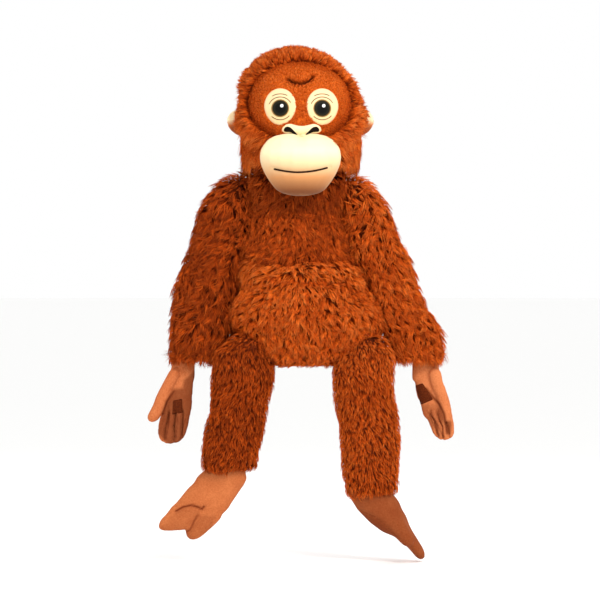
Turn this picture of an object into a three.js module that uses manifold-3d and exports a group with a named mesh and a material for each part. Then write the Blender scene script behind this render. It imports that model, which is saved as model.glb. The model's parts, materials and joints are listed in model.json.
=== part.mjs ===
// Long-armed plush orangutan. Millimetres, +Z up, facing -Y. Z is 0 on the flat seat that it rests on.
// The toy's right side is -X and its left side is +X.
import * as THREE from 'three';
import { mergeVertices } from 'three/addons/utils/BufferGeometryUtils.js';
import Module from 'manifold-3d';

const wasm = await Module();
wasm.setup();

// ---------------------------------------------------------------- driving dimensions
const seam = 0.4;          // gap between two panels that are sewn edge to edge
const layerGap = 0.4;      // gap between a cover and what fills it
const pile = 7;            // backing and pressed pile of the long fur
const facePile = 5;        // backing and pressed pile of the face
const jersey = 2;          // bare cloth of the muzzle, hands and feet
const appliqueGap = 0.3;   // a sewn-on piece above the cloth under it
const applique = 1.6;      // thickness of a sewn-on piece
const huge = 900;          // half-space blocks for cuts

const torso = {
  neckZ: 244, shoulderZ: 206, chestZ: 166, foldZ: 133, bellyZ: 48,
  neckHalf: 44, shoulderHalf: 59, chestHalf: 65, foldHalf: 73, bellyHalf: 92, seatHalf: 66,
  neckDepth: 30, shoulderDepth: 40, chestDepth: 50, foldDepth: 57, bellyDepth: 70, seatDepth: 54,
  sideY: 4,
};
const neck = { x: -2, y: 4, rise: 8, radius: 29, gap: 1.2 };
const head = {
  base: 14, height: 151, half: 73, depth: 64, y: 2,
  faceHalf: 60, faceLow: 30, faceHigh: 134, faceX: -3,
};
const muzzle = { x: -2, half: 52, low: -38, high: 44, depth: 44, y: -66, chinDepth: 16, chinZ: 6 };
const mouth = { x0: -35, x1: 37, z: -3, rise: 3, sag: 7, width: 2.6 };
const eye = { x: -1, spread: 27, patchZ: 77, patchHalf: 20, patchHigh: 23, z: 75, disc: 11.5 };
const nose = { half: 23, z: 47, high: 7.5, sag: 5, overMuzzle: 3 };
const nostril = { spread: 13, half: 6, drop: 4, slant: 3, width: 3.4 };
const ear = { z: 57, high: 21, half: 19, thick: 5, x: -2, y: 4, out: 2 };
const armGap = 2.4;
const arm = {
  length: 204, rise: 37, halfTop: 31, halfMid: { left: 34, right: 38 }, halfLow: 27, depth: 29,
  elbow: 104, elbowBall: 20,
  flare: { left: { mid: 2, low: 30, cuff: 32 }, right: { mid: 10, low: 30, cuff: 40 } },
};
const wrist = { gap: 2, flare: 5, rise: 4 };
const hand = { length: 107, wristHalf: 13, half: 21, thick: 9.5, lean: { left: 22, right: 19 } };
const thumb = { radius: 7.5, length: 74, drop: 16, gap: 1, tilt: { left: 14, right: 27 } };
const patch = { width: 20, height: 21, tilt: 25, drop: 42, inset: 6, reach: 60 };
const hip = { y: -18, z: -22, gap: 1.6, crotchHalf: 33 };
const ballGap = 1.2;       // between the ball end of one filling and the hollow end of the next
const bendRoom = 0.9;      // share of a limb's half depth left open over the elbow and knee
const leg = {
  half: 41, depth: 34, kneeBall: 23, cuffHalf: 37, knee: { left: 60, right: 50 },
  length: { left: 146, right: 114 }, lean: { left: 10, right: 17 },
};
const ankle = { half: 25, round: 15, gap: 2 };
const foot = {
  length: 116, half: 26, thick: 16, heel: 6, toe: 11, toeLength: 48, toeSplay: 20, toeOut: 3, toeShare: 0.47,
  down: { left: 35, right: 45 }, roll: { left: 90, right: 0 }, inset: { left: 12, right: 5 },
};
const label = { x: 6, width: 24, height: 34, thick: 1.2, z: 40, reach: 6 };
const degree = Math.PI / 180;

// ---------------------------------------------------------------- materials
const cloth = (color, roughness = 0.95) => new THREE.MeshStandardMaterial({ color, roughness, metalness: 0 });
const furCloth = cloth(0xb4501e);
const faceCloth = cloth(0xc8641e);
const creamCloth = cloth(0xf5dca5, 0.85);
const bareCloth = cloth(0xc8784b, 0.85);
const fibre = cloth(0xf0eee8);
const thread = cloth(0x3c1e14, 0.6);
const eyeThread = cloth(0x2a221a, 0.5);
const maroonTape = cloth(0x5a1e12, 0.9);
const labelCloth = cloth(0xf4f2ee, 0.7);

const toy = new THREE.Group();

// ---------------------------------------------------------------- solids
function solidOf(geometry) {
  geometry.deleteAttribute('normal');
  geometry.deleteAttribute('uv');
  const merged = mergeVertices(geometry, 1e-4);
  return new wasm.Manifold(new wasm.Mesh({
    numProp: 3,
    vertProperties: merged.attributes.position.array,
    triVerts: merged.index.array,
  }));
}

function geometryOf(solid) {
  const mesh = solid.getMesh();
  const geometry = new THREE.BufferGeometry();
  geometry.setAttribute('position', new THREE.BufferAttribute(mesh.vertProperties, 3));
  geometry.setIndex(new THREE.BufferAttribute(mesh.triVerts, 1));
  geometry.computeVertexNormals();
  return geometry;
}

function add(name, solid, material, parent = toy) {
  const mesh = new THREE.Mesh(geometryOf(solid), material);
  mesh.name = name;
  parent.add(mesh);
  return mesh;
}

// Smooth sections between stations of [z, x, y, half width, half depth], lowest first.
function sections(stations) {
  const heights = stations.map((s) => s[0]);
  const curve = new THREE.CubicInterpolant(heights, stations.flatMap((s) => s.slice(1)), 4);
  const low = heights[0];
  const high = heights[heights.length - 1];
  return (z) => Array.from(curve.evaluate(THREE.MathUtils.clamp(z, low, high)));
}

// A stuffed body through its stations, with a rounded cap at each end, grown outwards by grow.
function body(stations, { grow = 0, lowCap = 12, highCap = 12, sides = 20, rows = 16, placed } = {}) {
  const at = sections(stations);
  const low = stations[0][0] - grow;
  const high = stations[stations.length - 1][0] + grow;
  const caps = [Math.max(lowCap + grow, 0.5), Math.max(highCap + grow, 0.5)];
  const capRows = 3 / rows;
  const geometry = new THREE.SphereGeometry(1, sides, rows);
  geometry.rotateX(Math.PI / 2);
  const position = geometry.attributes.position;
  for (let i = 0; i < position.count; i += 1) {
    const polar = Math.acos(THREE.MathUtils.clamp(position.getZ(i), -1, 1)) / Math.PI;
    const rise = 1 - polar;
    const ring = Math.sin(polar * Math.PI);
    let z;
    let shrink = 1;
    if (rise < capRows) {
      const turn = (rise / capRows) * Math.PI / 2;
      z = low + caps[0] * (1 - Math.cos(turn));
      shrink = Math.sin(turn);
    } else if (rise > 1 - capRows) {
      const turn = ((1 - rise) / capRows) * Math.PI / 2;
      z = high - caps[1] * (1 - Math.cos(turn));
      shrink = Math.sin(turn);
    } else {
      const along = (rise - capRows) / (1 - 2 * capRows);
      z = THREE.MathUtils.lerp(low + caps[0], high - caps[1], along);
    }
    const [x, y, half, depth] = at(z);
    const atPole = ring < 1e-6;
    const cosine = atPole ? 0 : position.getX(i) / ring;
    const sine = atPole ? 0 : position.getY(i) / ring;
    position.setXYZ(i, x + cosine * (half + grow) * shrink, y + sine * (depth + grow) * shrink, z);
  }
  if (placed) geometry.applyMatrix4(placed);
  return solidOf(geometry);
}

function block(x0, x1, y0, y1, z0, z1) {
  const geometry = new THREE.BoxGeometry(x1 - x0, y1 - y0, z1 - z0);
  geometry.translate((x0 + x1) / 2, (y0 + y1) / 2, (z0 + z1) / 2);
  return solidOf(geometry);
}

function ball(x, y, z, radius, sides = 14) {
  const geometry = new THREE.SphereGeometry(radius, sides, Math.round(sides * 0.7));
  geometry.translate(x, y, z);
  return solidOf(geometry);
}

function rollerX(x0, x1, y, z, radius) {
  const geometry = new THREE.CylinderGeometry(radius, radius, x1 - x0, 28);
  geometry.rotateZ(Math.PI / 2);
  geometry.translate((x0 + x1) / 2, y, z);
  return solidOf(geometry);
}

// A flat outline in X and Z, drawn through the toy from y0 to y1.
function prism(points, y0, y1) {
  const shape = new THREE.Shape(points.map(([x, z]) => new THREE.Vector2(x, z)));
  const geometry = new THREE.ExtrudeGeometry(shape, { depth: y1 - y0, bevelEnabled: false });
  geometry.rotateX(Math.PI / 2);
  geometry.translate(0, y1, 0);
  return solidOf(geometry);
}

function oval(x, z, half, high, count = 28) {
  return Array.from({ length: count }, (_, i) => {
    const turn = (i / count) * 2 * Math.PI;
    return [x + half * Math.cos(turn), z + high * Math.sin(turn)];
  });
}

// A strip of even width along an arc that sags by sag between its two ends.
function strip(x0, z0, x1, z1, sag, width, count = 12) {
  const edge = (offset) => Array.from({ length: count + 1 }, (_, i) => {
    const t = i / count;
    const drop = sag * 4 * t * (1 - t);
    return [THREE.MathUtils.lerp(x0, x1, t), THREE.MathUtils.lerp(z0, z1, t) - drop + offset];
  });
  return [...edge(-width / 2), ...edge(width / 2).reverse()];
}

const below = (z) => block(-huge, huge, -huge, huge, -huge, z);
const above = (z) => block(-huge, huge, -huge, huge, z, huge);
const inFront = (y) => block(-huge, huge, -huge, y, -huge, huge);
const behind = (y) => block(-huge, huge, y, huge, -huge, huge);
const leftOf = (x) => block(x, huge, -huge, huge, -huge, huge);
const rightOf = (x) => block(-huge, x, -huge, huge, -huge, huge);

// ---------------------------------------------------------------- torso
const torsoStations = [
  [0, 7, 2, torso.seatHalf, torso.seatDepth],
  [torso.bellyZ, 9, -4, torso.bellyHalf, torso.bellyDepth],
  [(torso.bellyZ + torso.foldZ) / 2, 3, -6, (torso.bellyHalf + torso.foldHalf) / 2 + 4, torso.bellyDepth],
  [torso.foldZ, -2, -3, torso.foldHalf, torso.foldDepth],
  [torso.chestZ, -5, 0, torso.chestHalf, torso.chestDepth],
  [torso.shoulderZ, -5, 4, torso.shoulderHalf, torso.shoulderDepth],
  [torso.neckZ, neck.x, neck.y, torso.neckHalf, torso.neckDepth],
];
const torsoAt = sections(torsoStations);
const torsoCaps = { lowCap: 0, highCap: 9, sides: 20, rows: 14 };
const neckZ = torso.neckZ + neck.rise;
const hipX = {
  left: torsoAt(0)[0] - 4 + hip.crotchHalf + hip.gap + leg.half,
  right: -hip.crotchHalf - hip.gap - leg.half,
};

// Room for a leg to swing: the round of the thigh's top about the hip, and the way in front of it.
function legRoom(side) {
  const reach = leg.depth + hip.gap;
  const inner = leg.half + hip.gap;
  const x0 = side === 'left' ? hipX.left - inner : -huge;
  const x1 = side === 'left' ? huge : hipX.right + inner;
  const round = rollerX(x0, x1, hip.y, hip.z, reach);
  return round.add(block(x0, x1, -huge, hip.y, -huge, hip.z + reach));
}

function buildTorso() {
  const neckRoom = ball(neck.x, neck.y, neckZ, neck.radius + neck.gap);
  const room = neckRoom.add(legRoom('left')).add(legRoom('right'));
  const outer = body(torsoStations, torsoCaps).subtract(room);
  const inner = body(torsoStations, { ...torsoCaps, grow: -pile });
  const filling = body(torsoStations, { ...torsoCaps, grow: -pile - layerGap });
  const shell = outer.subtract(inner).intersect(above(pile + seam));
  const front = shell.intersect(inFront(torso.sideY - seam / 2));
  const back = shell.intersect(behind(torso.sideY + seam / 2));
  add('chest_panel', front.intersect(above(torso.foldZ + seam / 2)), furCloth);
  add('belly_panel', front.intersect(below(torso.foldZ - seam / 2)), furCloth);
  add('back_panel_left', back.intersect(leftOf(seam / 2)), furCloth);
  add('back_panel_right', back.intersect(rightOf(-seam / 2)), furCloth);
  add('seat_panel', outer.intersect(below(pile)), furCloth);
  add('torso_stuffing', filling.subtract(room).intersect(above(pile + seam + layerGap)), fibre);

  const backY = torsoAt(label.z)[1] + torsoAt(label.z)[3];
  const x1 = label.x + label.width;
  const tag = block(label.x, x1, backY - label.reach, backY + label.reach, label.z, label.z + label.height);
  const sheet = body(torsoStations, { ...torsoCaps, grow: appliqueGap + label.thick })
    .subtract(body(torsoStations, { ...torsoCaps, grow: appliqueGap }));
  add('care_label', sheet.intersect(tag), labelCloth);
}

// ---------------------------------------------------------------- head
const headZ = neckZ + head.base - neck.rise;
const headStations = [
  [headZ, neck.x, neck.y, 56, 42],
  [headZ + 14, -2, head.y, head.half - 6, head.depth - 8],
  [headZ + 40, -2, head.y, head.half, head.depth],
  [headZ + 84, -3, head.y, head.half, head.depth + 2],
  [headZ + 116, -6, head.y, head.half - 9, head.depth - 6],
  [headZ + head.height, -10, head.y, head.half - 38, head.depth - 30],
];
const headCaps = { lowCap: 6, highCap: 18, sides: 22, rows: 16 };
const muzzleStations = [
  [headZ + muzzle.low, muzzle.x, muzzle.y - 7, 24, 12],
  [headZ + muzzle.low + 18, muzzle.x, muzzle.y - 3, muzzle.half - 13, muzzle.depth - 12],
  [headZ + muzzle.low + 46, muzzle.x, muzzle.y, muzzle.half, muzzle.depth],
  [headZ + muzzle.low + 64, muzzle.x, muzzle.y + 2, muzzle.half - 3, muzzle.depth - 4],
  [headZ + muzzle.high, muzzle.x, muzzle.y + 8, 33, 22],
];
const muzzleCaps = { lowCap: 8, highCap: 10, sides: 18, rows: 12 };
const headSolid = (grow) => body(headStations, { ...headCaps, grow });
const muzzleSolid = (grow) => body(muzzleStations, { ...muzzleCaps, grow });

// What stands on the face: the head's own surface from lift to lift + thick, inside an outline.
function onFace(outline, lift, thick) {
  return headSolid(lift + thick).subtract(headSolid(lift)).intersect(prism(outline, -huge, head.y));
}

function buildHead() {
  const neckRoom = ball(neck.x, neck.y, neckZ, neck.radius + neck.gap);
  const faceMid = headZ + (head.faceLow + head.faceHigh) / 2;
  const faceHigh = (head.faceHigh - head.faceLow) / 2;
  const facePatch = (inset) => prism(
    oval(head.faceX, faceMid, head.faceHalf - inset, faceHigh - inset, 36), -huge, head.y - 20);
  const outer = headSolid(0).subtract(neckRoom);
  const hood = outer.subtract(headSolid(-pile)).subtract(facePatch(0));
  add('hood_left', hood.intersect(leftOf(head.faceX + seam / 2)), furCloth);
  add('hood_right', hood.intersect(rightOf(head.faceX - seam / 2)), furCloth);
  const face = headSolid(0).subtract(headSolid(-facePile));
  add('face_panel', face.intersect(facePatch(seam)), faceCloth);
  add('head_stuffing', headSolid(-pile - layerGap).subtract(neckRoom), fibre);

  const clear = headSolid(appliqueGap);
  const chinRoom = block(-huge, huge, muzzle.y + muzzle.chinDepth, huge, -huge, headZ + muzzle.chinZ);
  const cover = muzzleSolid(0).subtract(clear).subtract(chinRoom);
  const inside = muzzleSolid(-jersey);
  add('muzzle_cover', cover.subtract(inside), creamCloth);
  const filling = muzzleSolid(-jersey - layerGap);
  add('muzzle_stuffing', filling.subtract(clear).subtract(chinRoom), fibre);

  const mouthZ = headZ + mouth.z;
  const mouthX = [muzzle.x + mouth.x0, muzzle.x + mouth.x1];
  const mouthArc = strip(mouthX[0], mouthZ, mouthX[1], mouthZ + mouth.rise, mouth.sag, mouth.width);
  const lip = muzzleSolid(appliqueGap + applique).subtract(muzzleSolid(appliqueGap));
  add('mouth_stitch', lip.intersect(prism(mouthArc, -huge, muzzle.y)), thread);

  const noseZ = headZ + nose.z;
  const noseBack = muzzle.y + muzzle.depth / 2;
  const noseX = [muzzle.x - nose.half, muzzle.x + nose.half];
  const noseOutline = strip(noseX[0], noseZ, noseX[1], noseZ, nose.sag, nose.high * 2, 14);
  const overMuzzle = nose.overMuzzle + appliqueGap;
  const noseSkin = (lift) => headSolid(nose.high + lift).add(muzzleSolid(overMuzzle + lift));
  const underNose = headSolid(appliqueGap).add(muzzleSolid(appliqueGap));
  const bridge = noseSkin(0).subtract(underNose).intersect(prism(noseOutline, -huge, noseBack));
  add('nose_patch', bridge, creamCloth);
  const slit = noseSkin(appliqueGap + applique).subtract(noseSkin(appliqueGap));
  for (const [side, sign] of [['left', 1], ['right', -1]]) {
    const x = muzzle.x + sign * nostril.spread;
    const inner = x - sign * nostril.half;
    const outer = x + sign * nostril.half;
    const z = noseZ - nostril.drop;
    const slot = strip(inner, z, outer, z + nostril.slant, 0, nostril.width, 4);
    const outline = sign > 0 ? slot : slot.reverse();
    add(`nostril_${side}`, slit.intersect(prism(outline, -huge, noseBack)), thread);
  }

  const noseClear = prism(noseOutline, -huge, huge);
  for (const [side, sign] of [['left', 1], ['right', -1]]) {
    const x = eye.x + sign * eye.spread;
    const patchOutline = oval(x, headZ + eye.patchZ, eye.patchHalf, eye.patchHigh);
    const patchSolid = onFace(patchOutline, appliqueGap, applique);
    const cream = patchSolid.subtract(muzzleSolid(nose.high)).subtract(noseClear);
    add(`eye_patch_${side}`, cream, creamCloth);
    const lift = 2 * appliqueGap + applique;
    add(`eye_${side}`, onFace(oval(x, headZ + eye.z, eye.disc, eye.disc), lift, applique), eyeThread);
    buildEar(side, sign);
  }
}

function buildEar(side, sign) {
  const middle = head.half + ear.out;
  const flap = new THREE.SphereGeometry(1, 18, 12);
  flap.scale(ear.half, ear.thick, ear.high);
  flap.translate(ear.x + sign * middle, ear.y, headZ + ear.z);
  const solid = solidOf(flap).subtract(headSolid(appliqueGap));
  add(`ear_front_${side}`, solid.intersect(inFront(ear.y - seam / 2)), creamCloth);
  add(`ear_back_${side}`, solid.intersect(behind(ear.y + seam / 2)), furCloth);
}

// ---------------------------------------------------------------- arms
// An arm hangs beside the torso: its inner edge keeps armGap off the torso's side at each height.
function armStations(side) {
  const sign = side === 'left' ? 1 : -1;
  const top = torso.shoulderZ + arm.rise;
  const flare = arm.flare[side];
  const halfMid = arm.halfMid[side];
  const rows = [
    [arm.length, flare.cuff, arm.halfLow - 3, arm.depth - 5],
    [arm.length - 26, flare.low, arm.halfLow, arm.depth - 2],
    [arm.length - 74, flare.mid, halfMid - 2, arm.depth],
    [54, 2, halfMid - 1, arm.depth],
    [4, 1, arm.halfTop, arm.depth],
    [-arm.rise, 0, arm.halfTop - 6, arm.depth - 5],
  ];
  return rows.map(([drop, extra, half, depth]) => {
    const z = drop < 0 ? top : torso.shoulderZ - drop;
    const [x, , torsoHalf] = torsoAt(THREE.MathUtils.clamp(z, torso.bellyZ, torso.shoulderZ));
    return [z, x + sign * (torsoHalf + armGap + extra + half), 0, half, depth];
  });
}

function handStations(side, sign, wristX, wristZ) {
  const straight = 8;
  const place = (drop, half, thick) => {
    const share = Math.max(0, drop - straight) / (hand.length - straight);
    return [wristZ - drop, wristX + sign * hand.lean[side] * share, 0, half, thick];
  };
  return [
    place(hand.length, hand.half - 6, hand.thick - 2),
    place(hand.length * 0.72, hand.half - 1, hand.thick),
    place(hand.length * 0.42, hand.half - 1, hand.thick + 1),
    place(22, hand.wristHalf + 4, hand.thick),
    place(-hand.thick, hand.wristHalf, hand.thick),
  ];
}

function buildArm(side) {
  const sign = side === 'left' ? 1 : -1;
  const stations = armStations(side);
  const at = sections(stations);
  const caps = { lowCap: 7, highCap: 22, sides: 14, rows: 12 };
  const cuffZ = stations[0][0];
  const wristX = at(cuffZ)[0];
  const wristZ = cuffZ + wrist.rise;
  const opening = ball(wristX, 0, wristZ, hand.wristHalf + wrist.gap + wrist.flare);
  const inner = body(stations, { ...caps, grow: -pile });
  const sleeve = body(stations, caps).subtract(inner).subtract(opening);
  add(`sleeve_${side}`, sleeve, furCloth);

  const elbowZ = torso.shoulderZ - arm.elbow;
  const [elbowX, elbowY] = at(elbowZ);
  const fill = body(stations, { ...caps, grow: -pile - layerGap });
  const openZ = elbowZ + bendRoom * (arm.depth - pile);
  const socket = ball(elbowX, elbowY, elbowZ, arm.elbowBall + ballGap);
  add(`upper_arm_stuffing_${side}`, fill.intersect(above(openZ)).subtract(socket), fibre);
  const handRoom = hand.thick + 2 * wrist.gap;
  const fore = fill.intersect(below(elbowZ)).intersect(above(wristZ + handRoom));
  add(`forearm_stuffing_${side}`, fore.add(ball(elbowX, elbowY, elbowZ, arm.elbowBall)), fibre);
  buildHand(side, sign, wristX, wristZ);
}

function buildHand(side, sign, wristX, wristZ) {
  const stations = handStations(side, sign, wristX, wristZ);
  const caps = { lowCap: 12, highCap: hand.thick, sides: 12, rows: 12 };
  const mitt = (grow) => body(stations, { ...caps, grow });
  const shell = mitt(0).subtract(mitt(-jersey));
  add(`hand_palm_${side}`, shell.intersect(inFront(-seam / 2)), bareCloth);
  add(`hand_back_${side}`, shell.intersect(behind(seam / 2)), bareCloth);
  add(`hand_stuffing_${side}`, mitt(-jersey - layerGap), fibre);

  const thumbShape = (grow) => {
    const straight = thumb.length - 2 * thumb.radius;
    const shape = new THREE.CapsuleGeometry(thumb.radius + grow, straight, 3, 10);
    shape.translate(0, -straight / 2, 0);
    shape.rotateX(Math.PI / 2);
    shape.rotateY(-sign * thumb.tilt[side] * degree);
    shape.translate(wristX + sign * (hand.wristHalf - 1), -hand.thick - 1, wristZ - thumb.drop);
    return solidOf(shape);
  };
  add(`thumb_${side}`, thumbShape(0).subtract(mitt(layerGap)), bareCloth);

  const tapeX = sections(stations)(wristZ - patch.drop)[0] - sign * patch.inset;
  const tape = new THREE.BoxGeometry(patch.width, patch.reach, patch.height);
  tape.rotateY(sign * patch.tilt * degree);
  tape.translate(tapeX, -patch.reach / 2, wristZ - patch.drop);
  const sheet = mitt(appliqueGap + applique).subtract(mitt(appliqueGap));
  const name = side === 'left' ? 'hook_patch' : 'loop_patch';
  add(name, sheet.intersect(solidOf(tape)).subtract(thumbShape(thumb.gap)), maroonTape);
}

// ---------------------------------------------------------------- legs
function buildLeg(side) {
  const sign = side === 'left' ? 1 : -1;
  const x = hipX[side];
  const lean = sign * leg.lean[side];
  const cuffZ = hip.z - leg.length[side];
  const stations = [
    [cuffZ, x + lean, hip.y, leg.cuffHalf, leg.depth - 6],
    [cuffZ + 26, x + lean, hip.y, leg.half - 2, leg.depth],
    [hip.z - 60, x + lean * 0.7, hip.y, leg.half - 1, leg.depth],
    [hip.z - 20, x, hip.y, leg.half, leg.depth],
    [hip.z + leg.depth, x, hip.y, leg.half, leg.depth],
  ];
  const caps = { lowCap: 8, highCap: leg.depth, sides: 14, rows: 12 };
  const at = sections(stations);
  const ankleZ = cuffZ + foot.inset[side];
  const sock = footShape(side, sign, x + lean, ankleZ);
  const inner = body(stations, { ...caps, grow: -pile });
  const cover = body(stations, caps).subtract(inner);
  add(`leg_cover_${side}`, cover.subtract(sock(ankle.gap, true)), furCloth);

  const kneeZ = hip.z - leg.knee[side];
  const [kneeX, kneeY] = at(kneeZ);
  const fill = body(stations, { ...caps, grow: -pile - layerGap });
  const openZ = kneeZ + bendRoom * (leg.depth - pile);
  const socket = ball(kneeX, kneeY, kneeZ, leg.kneeBall + ballGap);
  add(`thigh_stuffing_${side}`, fill.intersect(above(openZ)).subtract(socket), fibre);
  const tilt = Math.sin(foot.down[side] * degree) * Math.cos(foot.roll[side] * degree);
  const footReach = ankle.round + ankle.half * tilt + 2 * ankle.gap;
  const shank = fill.intersect(below(kneeZ)).intersect(above(ankleZ + footReach));
  add(`shank_stuffing_${side}`, shank.add(ball(kneeX, kneeY, kneeZ, leg.kneeBall)), fibre);
  buildFoot(side, sign, sock);
}

// A foot is shaped with its toes towards its own -Z and its sole towards its own +Y, then turned at
// the ankle. The function returned gives the foot, grown outwards, in its own frame or the toy's.
function footShape(side, sign, ankleX, ankleZ) {
  const stations = [
    [-foot.length, sign * 5, 0, foot.half - 15, foot.thick - 9],
    [-foot.length * 0.7, sign * 3, 0, foot.half - 3, foot.thick - 5],
    [-foot.length * 0.42, 0, 1, foot.half, foot.thick - 1],
    [-foot.length * 0.18, 0, foot.heel, foot.half - 3, foot.thick + 3],
    [ankle.round, 0, 0, ankle.half, ankle.round],
  ];
  const caps = { lowCap: 12, highCap: ankle.round, sides: 14, rows: 12 };
  const frame = new THREE.Group();
  frame.position.set(ankleX, hip.y, ankleZ);
  frame.rotation.set(0, -sign * foot.down[side] * degree, sign * foot.roll[side] * degree);
  frame.updateMatrix();
  const shape = (grow, inToy = false) => body(stations, { ...caps, grow, placed: inToy && frame.matrix });
  shape.frame = frame;
  return shape;
}

function buildFoot(side, sign, sock) {
  const inward = -sign;
  toy.add(sock.frame);
  const toe = new THREE.CapsuleGeometry(foot.toe, foot.toeLength - 2 * foot.toe, 3, 12);
  toe.translate(0, -foot.toeLength / 2 + foot.toe, 0);
  toe.rotateX(Math.PI / 2);
  toe.rotateY(-inward * foot.toeSplay * degree);
  toe.translate(inward * (foot.half - foot.toe + foot.toeOut), 1, -foot.length * foot.toeShare);
  const shell = sock(0).subtract(sock(-jersey));
  add(`foot_top_${side}`, shell.intersect(inFront(-seam / 2)), bareCloth, sock.frame);
  add(`foot_sole_${side}`, shell.intersect(behind(seam / 2)), bareCloth, sock.frame);
  add(`foot_stuffing_${side}`, sock(-jersey - layerGap), fibre, sock.frame);
  add(`big_toe_${side}`, solidOf(toe).subtract(sock(layerGap)), bareCloth, sock.frame);
}

buildTorso();
add('neck_stuffing', ball(neck.x, neck.y, neckZ, neck.radius), fibre);
buildHead();
for (const side of ['left', 'right']) {
  buildArm(side);
  buildLeg(side);
}

export default toy;
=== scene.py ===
# Plush orangutan: combed long-pile fur over stuffed skins, a jersey face, and bare cloth hands and feet.
# Everything is in metres in the frame's own axes, with +Z up and the face towards -Y.
import json
import math
from types import SimpleNamespace

import bmesh
import bpy
import numpy as np
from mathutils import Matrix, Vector, kdtree, noise
from mathutils.bvhtree import BVHTree


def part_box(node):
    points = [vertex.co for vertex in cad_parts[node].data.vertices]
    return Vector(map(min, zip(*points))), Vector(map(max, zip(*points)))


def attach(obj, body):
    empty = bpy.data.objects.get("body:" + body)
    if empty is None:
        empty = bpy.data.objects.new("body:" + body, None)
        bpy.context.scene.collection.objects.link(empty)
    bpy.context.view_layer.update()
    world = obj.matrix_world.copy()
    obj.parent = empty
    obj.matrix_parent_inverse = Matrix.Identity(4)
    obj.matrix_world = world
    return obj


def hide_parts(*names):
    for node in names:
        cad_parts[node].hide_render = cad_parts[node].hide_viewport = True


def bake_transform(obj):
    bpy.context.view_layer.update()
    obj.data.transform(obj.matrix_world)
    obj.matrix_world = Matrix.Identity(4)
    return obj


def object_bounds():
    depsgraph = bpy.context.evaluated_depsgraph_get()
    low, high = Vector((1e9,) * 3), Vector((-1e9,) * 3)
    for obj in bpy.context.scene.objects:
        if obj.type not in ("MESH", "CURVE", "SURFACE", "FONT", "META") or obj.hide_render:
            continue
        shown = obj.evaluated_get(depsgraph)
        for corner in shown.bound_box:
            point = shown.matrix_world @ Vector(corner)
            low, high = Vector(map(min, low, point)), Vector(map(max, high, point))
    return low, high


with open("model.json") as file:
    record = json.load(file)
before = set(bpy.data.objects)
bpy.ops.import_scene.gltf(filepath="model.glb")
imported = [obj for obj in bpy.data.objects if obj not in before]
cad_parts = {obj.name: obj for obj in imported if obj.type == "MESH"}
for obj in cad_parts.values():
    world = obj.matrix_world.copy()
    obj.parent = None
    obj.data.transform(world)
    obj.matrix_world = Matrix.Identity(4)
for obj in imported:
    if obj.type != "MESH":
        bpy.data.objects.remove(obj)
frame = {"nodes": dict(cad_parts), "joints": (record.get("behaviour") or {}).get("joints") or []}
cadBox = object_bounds()
nodes = frame["nodes"]
mm = 0.001
sides = {"left": 1, "right": -1}


def boxOf(nodeName):
    low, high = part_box(nodeName)
    return np.array(low), np.array(high)


def middleAndHalf(nodeName):
    low, high = boxOf(nodeName)
    return (low + high) / 2, (high - low) / 2


# finishes

none = (0, 0, 0, 1)
full = (1, 1, 1, 1)


def shade(red, green, blue):
    # a colour given on a 0 to 255 scale, as the linear values that shaders take
    parts = []
    for part in (red, green, blue):
        share = part / 255
        parts.append(share / 12.92 if share <= 0.04045 else ((share + 0.055) / 1.055) ** 2.4)
    return (*parts, 1.0)


class Wire:
    # one output of a node, which plain sums can use

    def __init__(self, finish, socket):
        self.finish = finish
        self.socket = socket

    def sum(self, operation, first, second):
        return self.finish.node("ShaderNodeMath", {"operation": operation}, {0: first, 1: second})

    def __rsub__(self, other):
        return self.sum("SUBTRACT", other, self)


def plainSum(operation):
    return lambda wire, other: wire.sum(operation, wire, other)


wireSums = {
    "__add__": "ADD", "__sub__": "SUBTRACT", "__mul__": "MULTIPLY", "__truediv__": "DIVIDE", "__pow__": "POWER",
    "__gt__": "GREATER_THAN",
}
for method, operation in wireSums.items():
    setattr(Wire, method, plainSum(operation))


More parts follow.
